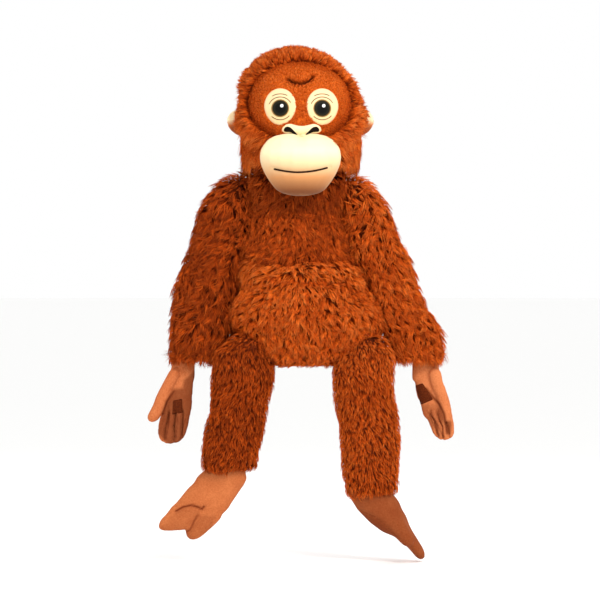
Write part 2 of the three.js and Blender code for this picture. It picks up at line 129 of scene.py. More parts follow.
class Finish:
    # a material, its shader, and one way to add any node to it

    def __init__(self, name, roughness=0.9, specular=0.2, sheen=0.0, sheenTint=full):
        self.material = bpy.data.materials.new(name)
        self.material.use_nodes = True
        self.tree = self.material.node_tree
        self.shader = self.tree.nodes["Principled BSDF"]
        self.shader.inputs["Roughness"].default_value = roughness
        self.shader.inputs["Specular IOR Level"].default_value = specular
        self.shader.inputs["Sheen Weight"].default_value = sheen
        self.shader.inputs["Sheen Tint"].default_value = sheenTint

    def feed(self, socket, value):
        if isinstance(value, Wire):
            self.tree.links.new(value.socket, socket)
        else:
            socket.default_value = value

    def node(self, kind, settings=None, values=None, output=0):
        made = self.tree.nodes.new(kind)
        for key, value in (settings or {}).items():
            setattr(made, key, value)
        for key, value in (values or {}).items():
            self.feed(made.inputs[key], value)
        return Wire(self, made.outputs[output])

    def ramp(self, value, stops):
        made = self.tree.nodes.new("ShaderNodeValToRGB")
        elements = made.color_ramp.elements
        while len(elements) < len(stops):
            elements.new(0.5)
        for element, (place, colour) in zip(elements, stops):
            element.position = place
            element.color = colour
        self.feed(made.inputs["Fac"], value)
        return Wire(self, made.outputs[0])

    def blend(self, share, first, second):
        made = self.tree.nodes.new("ShaderNodeMix")
        made.data_type = "RGBA"
        for key, value in {"Factor": share, "A": first, "B": second}.items():
            self.feed(next(s for s in made.inputs if s.name == key and s.enabled), value)
        return Wire(self, next(s for s in made.outputs if s.enabled))

    def place(self):
        return self.node("ShaderNodeTexCoord", output="Object")

    def grain(self, scale, detail=3.0):
        return self.node("ShaderNodeTexNoise", None, {"Vector": self.place(), "Scale": scale, "Detail": detail})

    def bands(self, direction, scale, distortion, place=None):
        values = {"Scale": scale, "Distortion": distortion, "Vector": place or self.place()}
        return self.node("ShaderNodeTexWave", {"bands_direction": direction}, values)

    def axis(self, letter, place=None):
        return self.node("ShaderNodeSeparateXYZ", None, {0: place or self.place()}, letter)

    def paintedShade(self):
        # how much painted shade each point of a piece was given
        return self.node("ShaderNodeAttribute", {"attribute_name": "shadePaint"}, output="Fac")

    def paint(self, colour):
        self.tree.links.new(colour.socket, self.shader.inputs["Base Color"])

    def emboss(self, height, strength, distance):
        values = {"Height": height, "Strength": strength, "Distance": distance}
        bump = self.node("ShaderNodeBump", None, values)
        self.tree.links.new(bump.socket, self.shader.inputs["Normal"])


def longPile():
    # u picks the tone of a tuft from dark to bright, and v runs from its root to its tip; the darker roots are
    # partly the pile's own colour and partly painted shade down among the tufts, and the lighter tips are
    # partly painted highlight
    fur = Finish("longPile", roughness=0.9, specular=0.05)
    spot = fur.node("ShaderNodeUVMap", {"uv_map": "OFBake"})
    across = fur.axis("X", spot)
    along = fur.axis("Y", spot)
    roots = fur.ramp(across, [(0, shade(54, 15, 3)), (0.5, shade(108, 32, 5)), (1, shade(164, 60, 10))])
    middle = fur.ramp(across, [(0, shade(118, 40, 6)), (0.5, shade(196, 76, 14)), (1, shade(240, 112, 28))])
    tips = fur.ramp(across, [(0, shade(150, 60, 22)), (0.5, shade(224, 102, 36)), (1, shade(255, 150, 74))])
    lower = fur.ramp(along, [(0.05, none), (0.5, full)])
    upper = fur.ramp(along, [(0.45, none), (1, full)])
    fur.paint(fur.blend(upper, fur.blend(lower, roots, middle), tips))
    return fur.material


def backingCloth():
    cloth = Finish("backingCloth", roughness=0.95, specular=0.1)
    blotches = cloth.grain(60)
    cloth.paint(cloth.ramp(blotches, [(0.3, shade(74, 26, 6)), (0.7, shade(112, 42, 12))]))
    cloth.emboss(cloth.grain(900, 2), 0.4, 0.0006)
    return cloth.material


def shortPile():
    cloth = Finish("shortPile", roughness=0.9, specular=0.05)
    nap = cloth.grain(420, 4)
    clouds = cloth.grain(28, 2)
    mixed = nap * 0.55 + clouds * 0.45
    stops = [(0.3, shade(150, 56, 10)), (0.5, shade(196, 84, 20)), (0.68, shade(226, 112, 40))]
    # painted shade: where a piece is marked, the pile turns dark, as in the brow fold
    cloth.paint(cloth.blend(cloth.paintedShade(), cloth.ramp(mixed, stops), shade(70, 20, 2)))
    cloth.emboss(cloth.grain(1300, 3), 0.6, 0.0008)
    return cloth.material


def creamJersey(name, top, middle, bottom, topZ, bottomZ):
    # brushed knit, darker and warmer low down: on the ears the cloth's own tan, on the muzzle partly its own
    # tan and partly painted shade where the cloth turns under
    cloth = Finish(name, roughness=0.8, specular=0.2, sheen=0.25, sheenTint=shade(255, 240, 210))
    height = (cloth.axis("Z") - bottomZ) / (topZ - bottomZ)
    fleck = cloth.grain(700, 3)
    clouds = cloth.grain(22, 2)
    base = cloth.ramp(height, [(0, bottom), (0.3, middle), (0.85, top)])
    toned = cloth.blend((clouds > 0.55) * 0.06, base, shade(236, 186, 120))
    cloth.paint(cloth.blend((fleck > 0.64) * 0.08, toned, shade(206, 150, 90)))
    knit = cloth.bands("X", 380.0, 0.6)
    cloth.emboss(knit * 0.35 + fleck * 0.65, 0.3, 0.0004)
    return cloth.material


def bareCloth(name, light, dark, shadeColour):
    # short suede nap that marks light and dark where it has been stroked, turning to a deep colour where
    # painted shade is marked
    cloth = Finish(name, roughness=0.88, specular=0.08)
    stroked = cloth.grain(34, 4)
    nap = cloth.grain(520, 3)
    mixed = stroked * 0.5 + nap * 0.5
    cloth.paint(cloth.blend(cloth.paintedShade(), cloth.ramp(mixed, [(0.36, dark), (0.62, light)]), shadeColour))
    cloth.emboss(cloth.grain(1500, 3), 0.5, 0.0006)
    return cloth.material


def hookTape():
    # rows of tiny hooks
    tape = Finish("hookTape", roughness=0.85, specular=0.1)
    grid = tape.node("ShaderNodeTexVoronoi", {"feature": "F1"}, {"Vector": tape.place(), "Scale": 900.0})
    tape.paint(tape.ramp(grid, [(0.1, shade(118, 50, 14)), (0.6, shade(80, 28, 5))]))
    tape.emboss(1 - grid, 0.8, 0.0008)
    return tape.material


def eyeStitching(side, centre, eye):
    # satin embroidery: a dark round, a lighter ring and a white spot
    thread = Finish(f"eyeStitching_{side}", roughness=0.5, specular=0.08)
    where = thread.place()
    x = thread.axis("X", where) - float(centre[0])
    z = thread.axis("Z", where) - float(centre[2])
    away = (x * x + z * z) ** 0.5
    share = away / eye["radius"]
    ring = [
        (0.0, shade(8, 7, 5)), (0.52, shade(14, 13, 9)), (0.74, shade(34, 33, 24)),
        (0.85, shade(20, 15, 9)), (0.89, shade(104, 82, 46)), (0.97, shade(156, 124, 74)),
    ]
    base = thread.ramp(share, ring)
    spotX = x - eye["glint"][0]
    spotZ = z - eye["glint"][1]
    near = (spotX * spotX + spotZ * spotZ) ** 0.5
    white = thread.ramp(near / eye["glintRadius"], [(0.75, full), (1, none)])
    thread.paint(thread.blend(white, base, shade(255, 255, 252)))
    thread.emboss(thread.bands("X", 520.0, 0.4, where), 0.25, 0.0003)
    return thread.material


def darkThread(name, colour, fleck=shade(92, 56, 36)):
    thread = Finish(name, roughness=0.7, specular=0.1)
    twist = thread.grain(1400, 2)
    thread.paint(thread.blend(twist * 0.25, colour, fleck))
    thread.emboss(twist, 0.4, 0.0003)
    return thread.material


def ribbon():
    satin = Finish("ribbon", roughness=0.45, specular=0.4)
    weave = satin.bands("Z", 700.0, 0.0)
    satin.paint(satin.ramp(weave, [(0, shade(232, 230, 224)), (1, shade(250, 249, 245))]))
    satin.emboss(weave, 0.2, 0.0002)
    return satin.material


# making and shaping pieces

def pickOnly(piece):
    bpy.ops.object.select_all(action="DESELECT")
    piece.select_set(True)
    bpy.context.view_layer.objects.active = piece


def newPiece(name, mesh):
    piece = bpy.data.objects.new(name, mesh)
    bpy.context.scene.collection.objects.link(piece)
    return piece


def pieceFrom(name, points, faces):
    mesh = bpy.data.meshes.new(name)
    mesh.from_pydata(points, [], faces)
    return newPiece(name, mesh)


def stitchedCopy(name, nodeNames):
    # copies of frame nodes in one mesh, each merged at its own seams
    form = bmesh.new()
    for nodeName in nodeNames:
        form.from_mesh(nodes[nodeName].data)
    bmesh.ops.remove_doubles(form, verts=form.verts, dist=1e-6)
    mesh = bpy.data.meshes.new(name)
    form.to_mesh(mesh)
    form.free()
    return newPiece(name, mesh)


def modify(piece, kind, **settings):
    pickOnly(piece)
    modifier = piece.modifiers.new(kind.title(), kind)
    for key, value in settings.items():
        setattr(modifier, key, value)
    bpy.ops.object.modifier_apply(modifier=modifier.name)


def keepLargest(piece):
    # the outer surface is the island with the most points
    form = bmesh.new()
    form.from_mesh(piece.data)
    form.verts.ensure_lookup_table()
    left = set(form.verts)
    islands = []
    while left:
        stack = [left.pop()]
        island = set(stack)
        while stack:
            for edge in stack.pop().link_edges:
                for vert in edge.verts:
                    if vert in left:
                        left.remove(vert)
                        island.add(vert)
                        stack.append(vert)
        islands.append(island)
    islands.sort(key=len)
    bmesh.ops.delete(form, geom=[v for island in islands[:-1] for v in island], context="VERTS")
    form.to_mesh(piece.data)
    form.free()


def plump(name, nodeNames, voxel, smoothing):
    # one soft stuffed form over several frame nodes
    piece = stitchedCopy(name, nodeNames)
    modify(piece, "REMESH", mode="VOXEL", voxel_size=voxel, use_smooth_shade=True)
    keepLargest(piece)
    modify(piece, "SMOOTH", factor=0.5, iterations=smoothing)
    return piece


def pointsOf(piece):
    spots = np.empty(len(piece.data.vertices) * 3)
    piece.data.vertices.foreach_get("co", spots)
    return spots.reshape(-1, 3)


def normalsOf(piece):
    ways = np.empty(len(piece.data.vertices) * 3)
    piece.data.vertex_normals.foreach_get("vector", ways)
    return ways.reshape(-1, 3)


def movePoints(piece, spots):
    piece.data.vertices.foreach_set("co", np.ascontiguousarray(spots, float).ravel())
    piece.data.update()


def dress(piece, material):
    piece.data.materials.clear()
    piece.data.materials.append(material)
    pickOnly(piece)
    bpy.ops.object.shade_smooth()


def bell(value, width):
    return np.exp(-(value / width) ** 2)


def rampUp(value, low, high):
    share = np.clip((value - low) / (high - low), 0, 1)
    return share * share * (3 - 2 * share)


def unit(ways):
    lengths = np.linalg.norm(ways, axis=-1, keepdims=True)
    return ways / np.maximum(lengths, 1e-9)


def surfaceOf(*pieces):
    # one tree that rays can meet, over several pieces
    spots = []
    faces = []
    for piece in pieces:
        start = len(spots)
        spots += [v.co.copy() for v in piece.data.vertices]
        faces += [[start + i for i in p.vertices] for p in piece.data.polygons]
    return BVHTree.FromPolygons(spots, faces)


def touchFront(tree, x, z):
    # where a ray from the front meets a surface
    hit, normal, _, _ = tree.ray_cast(Vector((x, -0.5, z)), Vector((0, 1, 0)))
    return hit, normal


def sewnOn(name, outline, tree, lift, thick, crown=0.5, rings=9):
    # a padded piece sewn flat round its edge: outline is a closed loop of (x, z) points
    count = len(outline)
    middle = np.mean(outline, axis=0)
    tops = []
    unders = []
    flat = []
    for ring in range(rings + 1):
        share = ring / rings
        loop = [middle] if ring == 0 else [middle + (np.array(p) - middle) * share for p in outline]
        for x, z in loop:
            hit, normal = touchFront(tree, x, z)
            flat.append((x, z, hit, normal, share))
    known = [f for f in flat if f[2] is not None]
    for x, z, hit, normal, share in flat:
        if hit is None:
            _, _, hit, normal, _ = min(known, key=lambda k: (k[0] - x) ** 2 + (k[1] - z) ** 2)
            hit = Vector((x, hit.y, z))
        rise = thick * (1 - share ** 2) ** crown
        tops.append(hit + normal * (lift + rise))
        unders.append(hit - normal * 0.4 * mm)
    faces = []
    under = len(tops)

    def at(ring, i):
        return 0 if ring == 0 else 1 + (ring - 1) * count + i % count

    for ring in range(rings):
        for i in range(count):
            if ring == 0:
                faces.append((at(0, 0), at(1, i), at(1, i + 1)))
                faces.append((under, under + at(1, i + 1), under + at(1, i)))
            else:
                square = (at(ring, i), at(ring + 1, i), at(ring + 1, i + 1), at(ring, i + 1))
                faces.append(square)
                faces.append(tuple(under + k for k in reversed(square)))
    for i in range(count):
        low, high = at(rings, i), at(rings, i + 1)
        faces.append((low, under + low, under + high, high))
    piece = pieceFrom(name, [tuple(p) for p in tops + unders], faces)
    tidyNormals(piece)
    return piece


def tidyNormals(piece):
    form = bmesh.new()
    form.from_mesh(piece.data)
    bmesh.ops.recalc_face_normals(form, faces=form.faces)
    form.to_mesh(piece.data)
    form.free()


def ovalOutline(x, z, half, high, count=40, tuck=0.0):
    # tuck narrows the lower end
    points = []
    for i in range(count):
        turn = 2 * math.pi * i / count
        narrow = 1 - tuck * max(0, -math.sin(turn))
        points.append((x + half * narrow * math.cos(turn), z + high * math.sin(turn)))
    return points


def curved(a, b, c, d, t):
    # a smooth line from b to c, at the share t of the way
    return 0.5 * (2 * b + (c - a) * t + (2 * a - 5 * b + 4 * c - d) * t * t + (3 * b - a - 3 * c + d) * t ** 3)


def smoothLoop(points, count):
    # a closed smooth line through a few points
    ring = np.array(points, float)
    size = len(ring)
    made = []
    for i in range(count):
        at = i * size / count
        k = int(at)
        made.append(curved(*(ring[(k + j) % size] for j in (-1, 0, 1, 2)), at - k))
    return made


def smoothRoute(points, count):
    # an open smooth line through a few points
    route = np.array(points, float)
    ends = np.vstack([2 * route[0] - route[1], route, 2 * route[-1] - route[-2]])
    spans = np.linspace(0, len(route) - 1 - 1e-6, count)
    return np.array([curved(*ends[int(at):int(at) + 4], at - int(at)) for at in spans])


def pullAbout(piece, pulls, reach):
    # reshape a form in the front view: each pull is a point (x, z) and its move (x, z), in millimetres
    spots = pointsOf(piece)
    pulls = np.array(pulls, float) * mm
    gaps = spots[:, None, [0, 2]] - pulls[None, :, :2]
    near = np.exp(-np.sum(gaps ** 2, axis=2) / reach ** 2) + 1e-12
    spots[:, [0, 2]] += near @ pulls[:, 2:] / near.sum(axis=1, keepdims=True)
    movePoints(piece, spots)


def gapTo(spots, route):
    # distance in the front view from each spot to a line of points in millimetres
    flat = spots[:, None, [0, 2]]
    line = np.array(route, float) * mm
    starts, steps = line[:-1], np.diff(line, axis=0)
    share = np.sum((flat - starts) * steps, axis=2) / np.sum(steps ** 2, axis=1)
    nearest = starts + steps * np.clip(share, 0, 1)[:, :, None]
    return np.min(np.linalg.norm(flat - nearest, axis=2), axis=1)


def inside(spots, outline):
    # whether each spot lies within a closed outline in the front view
    crossings = np.zeros(len(spots), int)
    ring = np.array(outline, float) * mm
    for (ax, az), (bx, bz) in zip(ring, np.roll(ring, -1, axis=0)):
        straddles = (spots[:, 2] < az) != (spots[:, 2] < bz)
        reach = ax + (spots[:, 2] - az) * (bx - ax) / (bz - az + 1e-12)
        crossings += straddles & (spots[:, 0] < reach)
    return crossings % 2 == 1


def shadePaint(piece, marks, soft=2.5 * mm):
    # painted shade: darken areas and lines on the side that faces the front, kept as a point attribute that the
    # finishes blend towards a dark colour
    spots = pointsOf(piece)
    dark = np.zeros(len(spots))
    for outline, amount in marks.get("areas", []):
        gap = gapTo(spots, list(outline) + [outline[0]])
        depth = np.where(inside(spots, outline), gap, -gap)
        dark = np.maximum(dark, amount * rampUp(depth, -soft, soft))
    for route, width, amount in marks.get("lines", []):
        dark = np.maximum(dark, amount * bell(gapTo(spots, route), width * mm))
    dark = dark * rampUp(-normalsOf(piece)[:, 1], -0.3, 0.2)
    layer = piece.data.attributes.new("shadePaint", "FLOAT", "POINT")
    layer.data.foreach_set("value", dark.astype(np.float32))


def threadLine(name, routes, radius):
    # sewn lines: a round thread along each route of points
    curve = bpy.data.curves.new(name, "CURVE")
    curve.dimensions = "3D"
    curve.bevel_depth = radius
    curve.bevel_resolution = 3
    curve.use_fill_caps = True
    for route in routes:
        spline = curve.splines.new("POLY")
        spline.points.add(len(route) - 1)
        for point, spot in zip(spline.points, route):
            point.co = (*spot, 1)
    piece = newPiece(name, curve)
    pickOnly(piece)
    bpy.ops.object.convert(target="MESH")
    return bpy.context.object


def finishPiece(piece, material, body, replaced=()):
    dress(piece, material)
    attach(piece, body)
    if replaced:
        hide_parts(*replaced)


# fur

pileFinish = longPile()
backingFinish = backingCloth()
toneCount = 96        # tones that a tuft can have


def waves(spots, size, seed):
    # smooth noise from -1 to 1 with features of about size
    shift = Vector((seed * 7.3, seed * 3.1, seed * 1.7))
    return np.array([noise.noise(Vector(p) / size + shift) for p in spots])


def spread(skin, count, chance, allowed):
    # even random places on a skin: their spots and smooth normals
    mesh = skin.data
    mesh.calc_loop_triangles()
    corners = np.empty(len(mesh.loop_triangles) * 3, int)
    mesh.loop_triangles.foreach_get("vertices", corners)
    corners = corners.reshape(-1, 3)
    spots = pointsOf(skin)
    ways = normalsOf(skin)
    a, b, c = (spots[corners[:, i]] for i in range(3))
    areas = np.linalg.norm(np.cross(b - a, c - a), axis=1) / 2
    areas = areas * allowed((a + b + c) / 3)
    chosen = chance.choice(len(areas), size=count, p=areas / areas.sum())
    r1 = np.sqrt(chance.random(count))[:, None]
    r2 = chance.random(count)[:, None]
    shares = np.hstack([1 - r1, r1 * (1 - r2), r1 * r2])
    picked = corners[chosen]
    places = sum(spots[picked[:, i]] * shares[:, i:i + 1] for i in range(3))
    normals = unit(sum(ways[picked[:, i]] * shares[:, i:i + 1] for i in range(3)))
    return places, normals


def turned(ways, axes, angles):
    cosine = np.cos(angles)[:, None]
    sine = np.sin(angles)[:, None]
    return ways * cosine + np.cross(axes, ways) * sine


def growFur(name, skin, fur, comb, allowed, lengthAt=None, toneAt=None, raiseAt=None):
    # tufts stand on the skin, lie along the comb, and gather in locks
    chance = np.random.default_rng(fur["seed"])
    roots, normals = spread(skin, fur["count"], chance, allowed)
    count = len(roots)
    lockCount = max(8, int(count * fur["lockShare"]))
    tree = kdtree.KDTree(lockCount)
    for i in range(lockCount):
        tree.insert(Vector(roots[i]), i)
    tree.balance()
    lock = np.array([tree.find(Vector(p))[1] for p in roots])

    lie = comb(roots)
    lie = unit(lie - normals * np.sum(lie * normals, axis=1, keepdims=True))
    drift = waves(roots, fur["drift"], fur["seed"]) * fur["driftTurn"]
    lockTurn = chance.normal(0, fur["lockTurn"], lockCount)[lock]
    lie = turned(lie, normals, drift + lockTurn + chance.normal(0, fur["stray"], count))
    across = np.cross(normals, lie)

    length = fur["length"] * (1 + chance.normal(0, 0.1, count)) * chance.uniform(0.82, 1.15, lockCount)[lock]
    if lengthAt is not None:
        length = length * lengthAt(roots)
    length = length[:, None]
    raised = fur["raise"] * chance.uniform(0.75, 1.3, lockCount)[lock]
    if raiseAt is not None:
        raised = np.clip(raised * raiseAt(roots), 0, 1.35)
    rise = np.sin(raised)[:, None]
    along = np.cos(raised)[:, None]
    sway = chance.normal(0, fur["sway"], lockCount)[lock][:, None]
    middles = roots + (normals * rise + lie * along + across * sway) * length * 0.5
    ends = middles + (normals * rise * 0.15 + lie - across * sway) * length * 0.5
    pull = fur["gather"] * chance.uniform(0.75, 1.15, count)[:, None]
    ends = ends + (ends[lock] - ends) * np.clip(pull, 0, 0.92)
    middles = middles + (middles[lock] - middles) * np.clip(pull * 0.42, 0, 0.6)
    starts = roots - normals * 0.8 * mm

    # each tuft tapers, with three sides and seven points
    width = fur["width"] * chance.uniform(0.75, 1.25, count)[:, None]
    points = np.empty((count, 7, 3))
    for i in range(3):
        angle = math.pi / 2 + i * 2 * math.pi / 3
        offset = across * math.cos(angle) + normals * math.sin(angle) * 0.6
        points[:, i] = starts + offset * width * 0.5
        points[:, 3 + i] = middles + offset * width * 0.42
    points[:, 6] = ends
    faces = [(0, 2, 1)]
    for i in range(3):
        j = (i + 1) % 3
        faces += [(i, j, 3 + j), (i, 3 + j, 3 + i), (3 + i, 3 + j, 6)]
    faces = np.array(faces)
    corners = (np.arange(count)[:, None, None] * 7 + faces[None]).reshape(-1)

    tone = fur["tone"] + chance.normal(0, 0.1, count) + chance.normal(0, fur["lockTone"], lockCount)[lock]
    tone = tone + 0.1 * waves(roots, 35 * mm, fur["seed"] + 5)
    # tone by place, which the callers use for painted light and shade
    if toneAt is not None:
        tone = tone + toneAt(roots)
    strip = np.floor(np.clip(tone, 0.0, 0.999) * toneCount) / toneCount
    strip[:2] = [0.0, (toneCount - 1) / toneCount]
    edges = np.array([0.08, 0.92]) / toneCount
    low, high, mid = edges[0], edges[1], edges.mean()
    foot, root, half, tip = 0.002, 0.01, 0.5, 0.99
    flank = [
        [(low, root), (high, root), (high, half)], [(low, root), (high, half), (low, half)],
        [(low, half), (high, half), (mid, tip)],
    ]
    shapes = [[(low, foot), (mid, root), (high, foot)]] + flank * 3
    layout = np.array(shapes)[None].repeat(count, axis=0)
    layout[..., 0] += strip[:, None, None]

    mesh = bpy.data.meshes.new(name)
    mesh.vertices.add(count * 7)
    mesh.vertices.foreach_set("co", points.ravel())
    mesh.loops.add(len(corners))
    mesh.loops.foreach_set("vertex_index", corners.astype(np.int32))
    mesh.polygons.add(len(corners) // 3)
    mesh.polygons.foreach_set("loop_start", np.arange(0, len(corners), 3, dtype=np.int32))
    mesh.update(calc_edges=True)
    layer = mesh.uv_layers.new(name="OFBake")
    layer.data.foreach_set("uv", layout.ravel().astype(np.float32))
    piece = newPiece(name, mesh)
    print(f"{name}: {count} tufts in {lockCount} locks")
    return piece


def skinUnder(name, nodeNames, voxel, inset, smoothing=6):
    # the backing that the fur is tufted into, a little inside the pile
    skin = plump(name, nodeNames, voxel, smoothing)
    movePoints(skin, pointsOf(skin) - normalsOf(skin) * inset)
    modify(skin, "SMOOTH", factor=0.5, iterations=2)
    return skin


bodyFur = {
    "length": 20 * mm, "raise": 0.72, "width": 1.15 * mm, "gather": 0.7, "lockShare": 0.17, "stray": 0.24,
    "lockTurn": 0.34, "drift": 40 * mm, "driftTurn": 0.8, "sway": 0.28, "tone": 0.46, "lockTone": 0.13,
    "inset": 4.2 * mm, "voxel": 3.2 * mm,
}

# torso

jointPlaces = {joint["name"]: np.array(joint["pos_m"]) for joint in frame["joints"]}
foldZ = boxOf("chest_panel")[0][2]
seatZ = boxOf("seat_panel")[0][2]
sideY = boxOf("back_panel_left")[0][1]
shoulderZ = jointPlaces["shoulder_left"][2]
torsoX = middleAndHalf("torso_stuffing")[0][0]
torsoHalf = middleAndHalf("torso_stuffing")[1][0]

# lengths in millimetres, for the fold across the waist, the swell under it and the crease of the belly
torso = {
    "fold": 4.5, "foldWidth": 5, "swell": 3.5, "swellDrop": 17, "swellWidth": 11, "crease": 4, "creaseWidth": 5,
    "lump": 3, "lumpSize": 42, "fill": 0.7,
    "furs": {
        # the chest fur is darker and the belly fur lighter than the back: partly painted shade under the chin
        # and partly painted light on the belly
        "chest_fur": dict(bodyFur, seed=11, count=14500, node="chest_panel", tone=0.34),
        "belly_fur": dict(bodyFur, seed=12, count=18500, node="belly_panel", tone=0.62, length=17 * mm),
        "back_fur_left": dict(bodyFur, seed=13, count=15500, node="back_panel_left", tone=0.44),
        "back_fur_right": dict(bodyFur, seed=14, count=15500, node="back_panel_right", tone=0.44),
    },
    "pulls": [
        (-62, 234, -22, 25), (61, 234, 15, 23), (-45, 240, -10, 9), (42, 240, 8, 8), (0, 240, 0, 0),
        (-62, 200, 0, 0), (62, 200, 0, 0), (0, 200, 0, 0), (-80, 120, 0, 0), (80, 120, 0, 0), (0, 120, 0, 0),
        (0, 20, 0, 0), (-75, 20, 0, 0), (80, 20, 0, 0), (-84, 52, -7, 0), (90, 52, 8, 0),
    ],
    "creaseLine": [(-34, 116), (0, 112), (30, 110), (60, 115)],
}


def aboveWaist(spots):
    # height above the sewn fold, which wanders a little
    x = spots[:, 0]
    return spots[:, 2] - foldZ - 2.5 * mm * np.sin(x / (17 * mm)) - 1.5 * mm * np.sin(x / (6 * mm))


def torsoComb(spots):
    ways = np.zeros_like(spots)
    ways[:, 0] = 0.75 * (spots[:, 0] - torsoX) / torsoHalf
    ways[:, 2] = -1
    return ways


def torsoArea(nodeName):
    front = "back" not in nodeName
    left = nodeName.endswith("left")

    def allowed(spots):
        above = spots[:, 2] > 4 * mm
        facing = spots[:, 1] < sideY if front else spots[:, 1] >= sideY
        if nodeName == "chest_panel":
            half = aboveWaist(spots) > 0
        elif nodeName == "belly_panel":
            half = aboveWaist(spots) <= 0
        else:
            half = spots[:, 0] > 0 if left else spots[:, 0] <= 0
        return (above & facing & half).astype(float)

    return allowed


# painted light and shade on the front fur: a lit band along the top of the belly, and painted shade just above
# the waist fold, in the belly's crease and under the chin
def torsoLightAndShade(spots):
    top = bell(spots[:, 2] - foldZ + 14 * mm, 12 * mm)
    waist = bell(spots[:, 2] - foldZ - 4 * mm, 5 * mm)
    crease = bell(gapTo(spots, torso["creaseLine"]), 4 * mm)
    chin = rampUp(spots[:, 2], foldZ + 50 * mm, foldZ + 80 * mm) * bell(spots[:, 0], 45 * mm)
    return (0.14 * top - 0.12 * waist - 0.28 * crease - 0.22 * chin) * (spots[:, 1] < 0)


def torsoLength(spots):
    high = rampUp(spots[:, 2], shoulderZ - 5 * mm, shoulderZ + 25 * mm)
    low = rampUp(-spots[:, 2], -24 * mm, -8 * mm)
    return 1 + 0.35 * high - 0.4 * low


def torsoRaise(spots):
    flank = rampUp(np.abs(spots[:, 0] - torsoX), 0.5 * torsoHalf, 0.75 * torsoHalf)
    high = rampUp(spots[:, 2], shoulderZ, shoulderZ + 20 * mm)
    return 1 + 0.5 * flank * rampUp(spots[:, 2], foldZ - 20 * mm, foldZ + 20 * mm) + 0.3 * high


def makeTorso():
    panels = ["chest_panel", "belly_panel", "back_panel_left", "back_panel_right"]
    covers = panels + ["seat_panel", "torso_stuffing"]
    skin = skinUnder("torso_skin", covers, bodyFur["voxel"], bodyFur["inset"])
    spots = pointsOf(skin)
    front = spots[:, 1] < 0
    waist = aboveWaist(spots)
    fold = bell(waist - 2 * mm, torso["foldWidth"] * mm) * front
    swell = bell(waist + torso["swellDrop"] * mm, torso["swellWidth"] * mm) * front
    crease = bell(gapTo(spots, torso["creaseLine"]), torso["creaseWidth"] * mm) * front
    rise = swell * torso["swell"] * mm - fold * torso["fold"] * mm - crease * torso["crease"] * mm
    rise = rise + waves(spots, torso["lumpSize"] * mm, 3) * torso["lump"] * mm
    spots = spots + normalsOf(skin) * rise[:, None]
    spots[:, 2] = np.maximum(spots[:, 2], seatZ + 0.5 * mm)
    movePoints(skin, spots)
    pullAbout(skin, torso["pulls"], 22 * mm)
    finishPiece(skin, backingFinish, "torso", ["torso_stuffing", "seat_panel"])
    for name, fur in torso["furs"].items():
        piece = growFur(name, skin, fur, torsoComb, torsoArea(fur["node"]), torsoLength, torsoLightAndShade, torsoRaise)
        finishPiece(piece, pileFinish, "torso", [fur["node"]])


makeTorso()
print("torso made")

# head

faceLow, faceHigh = boxOf("face_panel")
faceMiddle, faceHalf = middleAndHalf("face_panel")
# the hood opens a little wider than the panel
faceHalf[0] += 5 * mm
headLow = boxOf("head_stuffing")[0]
earZ = middleAndHalf("ear_front_left")[0][2]
hood = {
    "roll": 8 * mm, "rollTop": 21 * mm, "rollSide": 12 * mm, "part": -3 * mm,
    "voxel": 2.6 * mm, "inset": 4.6 * mm, "fill": 0.8,
    "fur": dict(bodyFur, length=16 * mm, tone=0.64, gather=0.6, lockShare=0.13, driftTurn=0.3, lockTurn=0.16,
                width=1.0 * mm, sway=0.14, count=19500, lockTone=0.22),
    "seed": {"left": 21, "right": 22},
    # one side of the hood's fur lighter than the other: painted light
    "lighter": {"left": 0.1, "right": -0.04},
    "pulls": [
        (-81, 328, -3, 0), (78, 328, 5, 0), (-85, 298, 0, 0), (81, 298, 1, 0), (-79, 285, 0, 0),
        (77, 285, 0, 0), (-77, 272, 1, 0), (74, 272, 3, 0), (-71, 259, -11, -2), (66, 259, 8, -2),
        (-58, 247, -14, -4), (54, 247, 14, -4), (-84, 350, -4, 0), (80, 350, 6, 0), (-78, 366, -4, 0),
        (72, 366, 6, 0),
        (0, 300, 0, 0), (0, 250, 0, 0), (-60, 392, 0, 0), (55, 392, 0, 0), (0, 410, 0, 0),
    ],
}
brow = {
    # the brow's fold, its reach, and the width of the painted shade along it
    "fold": 6.5 * mm, "reach": 2.8 * mm, "shadePaint": 3.4,
    "points": [(-17, 368), (-9, 364), (0, 363), (7, 366), (13, 371.5)],
}


def fromFaceEdge(spots):
    # distance outside the face panel's oval edge, less than zero inside it
    x = (spots[:, 0] - faceMiddle[0]) / faceHalf[0]
    z = (spots[:, 2] - faceMiddle[2]) / faceHalf[2]
    far = np.sqrt(x * x + z * z)
    size = np.hypot(x * faceHalf[0], z * faceHalf[2]) / np.maximum(far, 1e-6)
    return (far - 1) * size


def rollWidth(spots):
    up = np.clip((spots[:, 2] - faceMiddle[2]) / faceHalf[2], 0, 1.2) / 1.2
    return hood["rollSide"] + (hood["rollTop"] - hood["rollSide"]) * up


def hoodComb(spots):
    # out from the face all round, then back over the crown and down the nape
    ways = spots - faceMiddle
    ways[:, 1] = 0
    ways = unit(ways)
    back = rampUp(spots[:, 1], -25 * mm, 25 * mm)[:, None]
    down = np.array([0.0, 0.0, -1.0])
    low = rampUp(-spots[:, 2], -faceMiddle[2] + 5 * mm, -faceMiddle[2] + 50 * mm)[:, None]
    back = np.maximum(back, 0.62 * low)
    sideways = np.array([1.0, 0.0, 0.0]) * np.sign(spots[:, 0:1]) * low * 0.5
    straight = np.array([0.0, 0.75, 0.0]) * (1 - 0.6 * back) * (1 - low)
    return ways * (1 - back) + straight + down * back * 1.3 + sideways


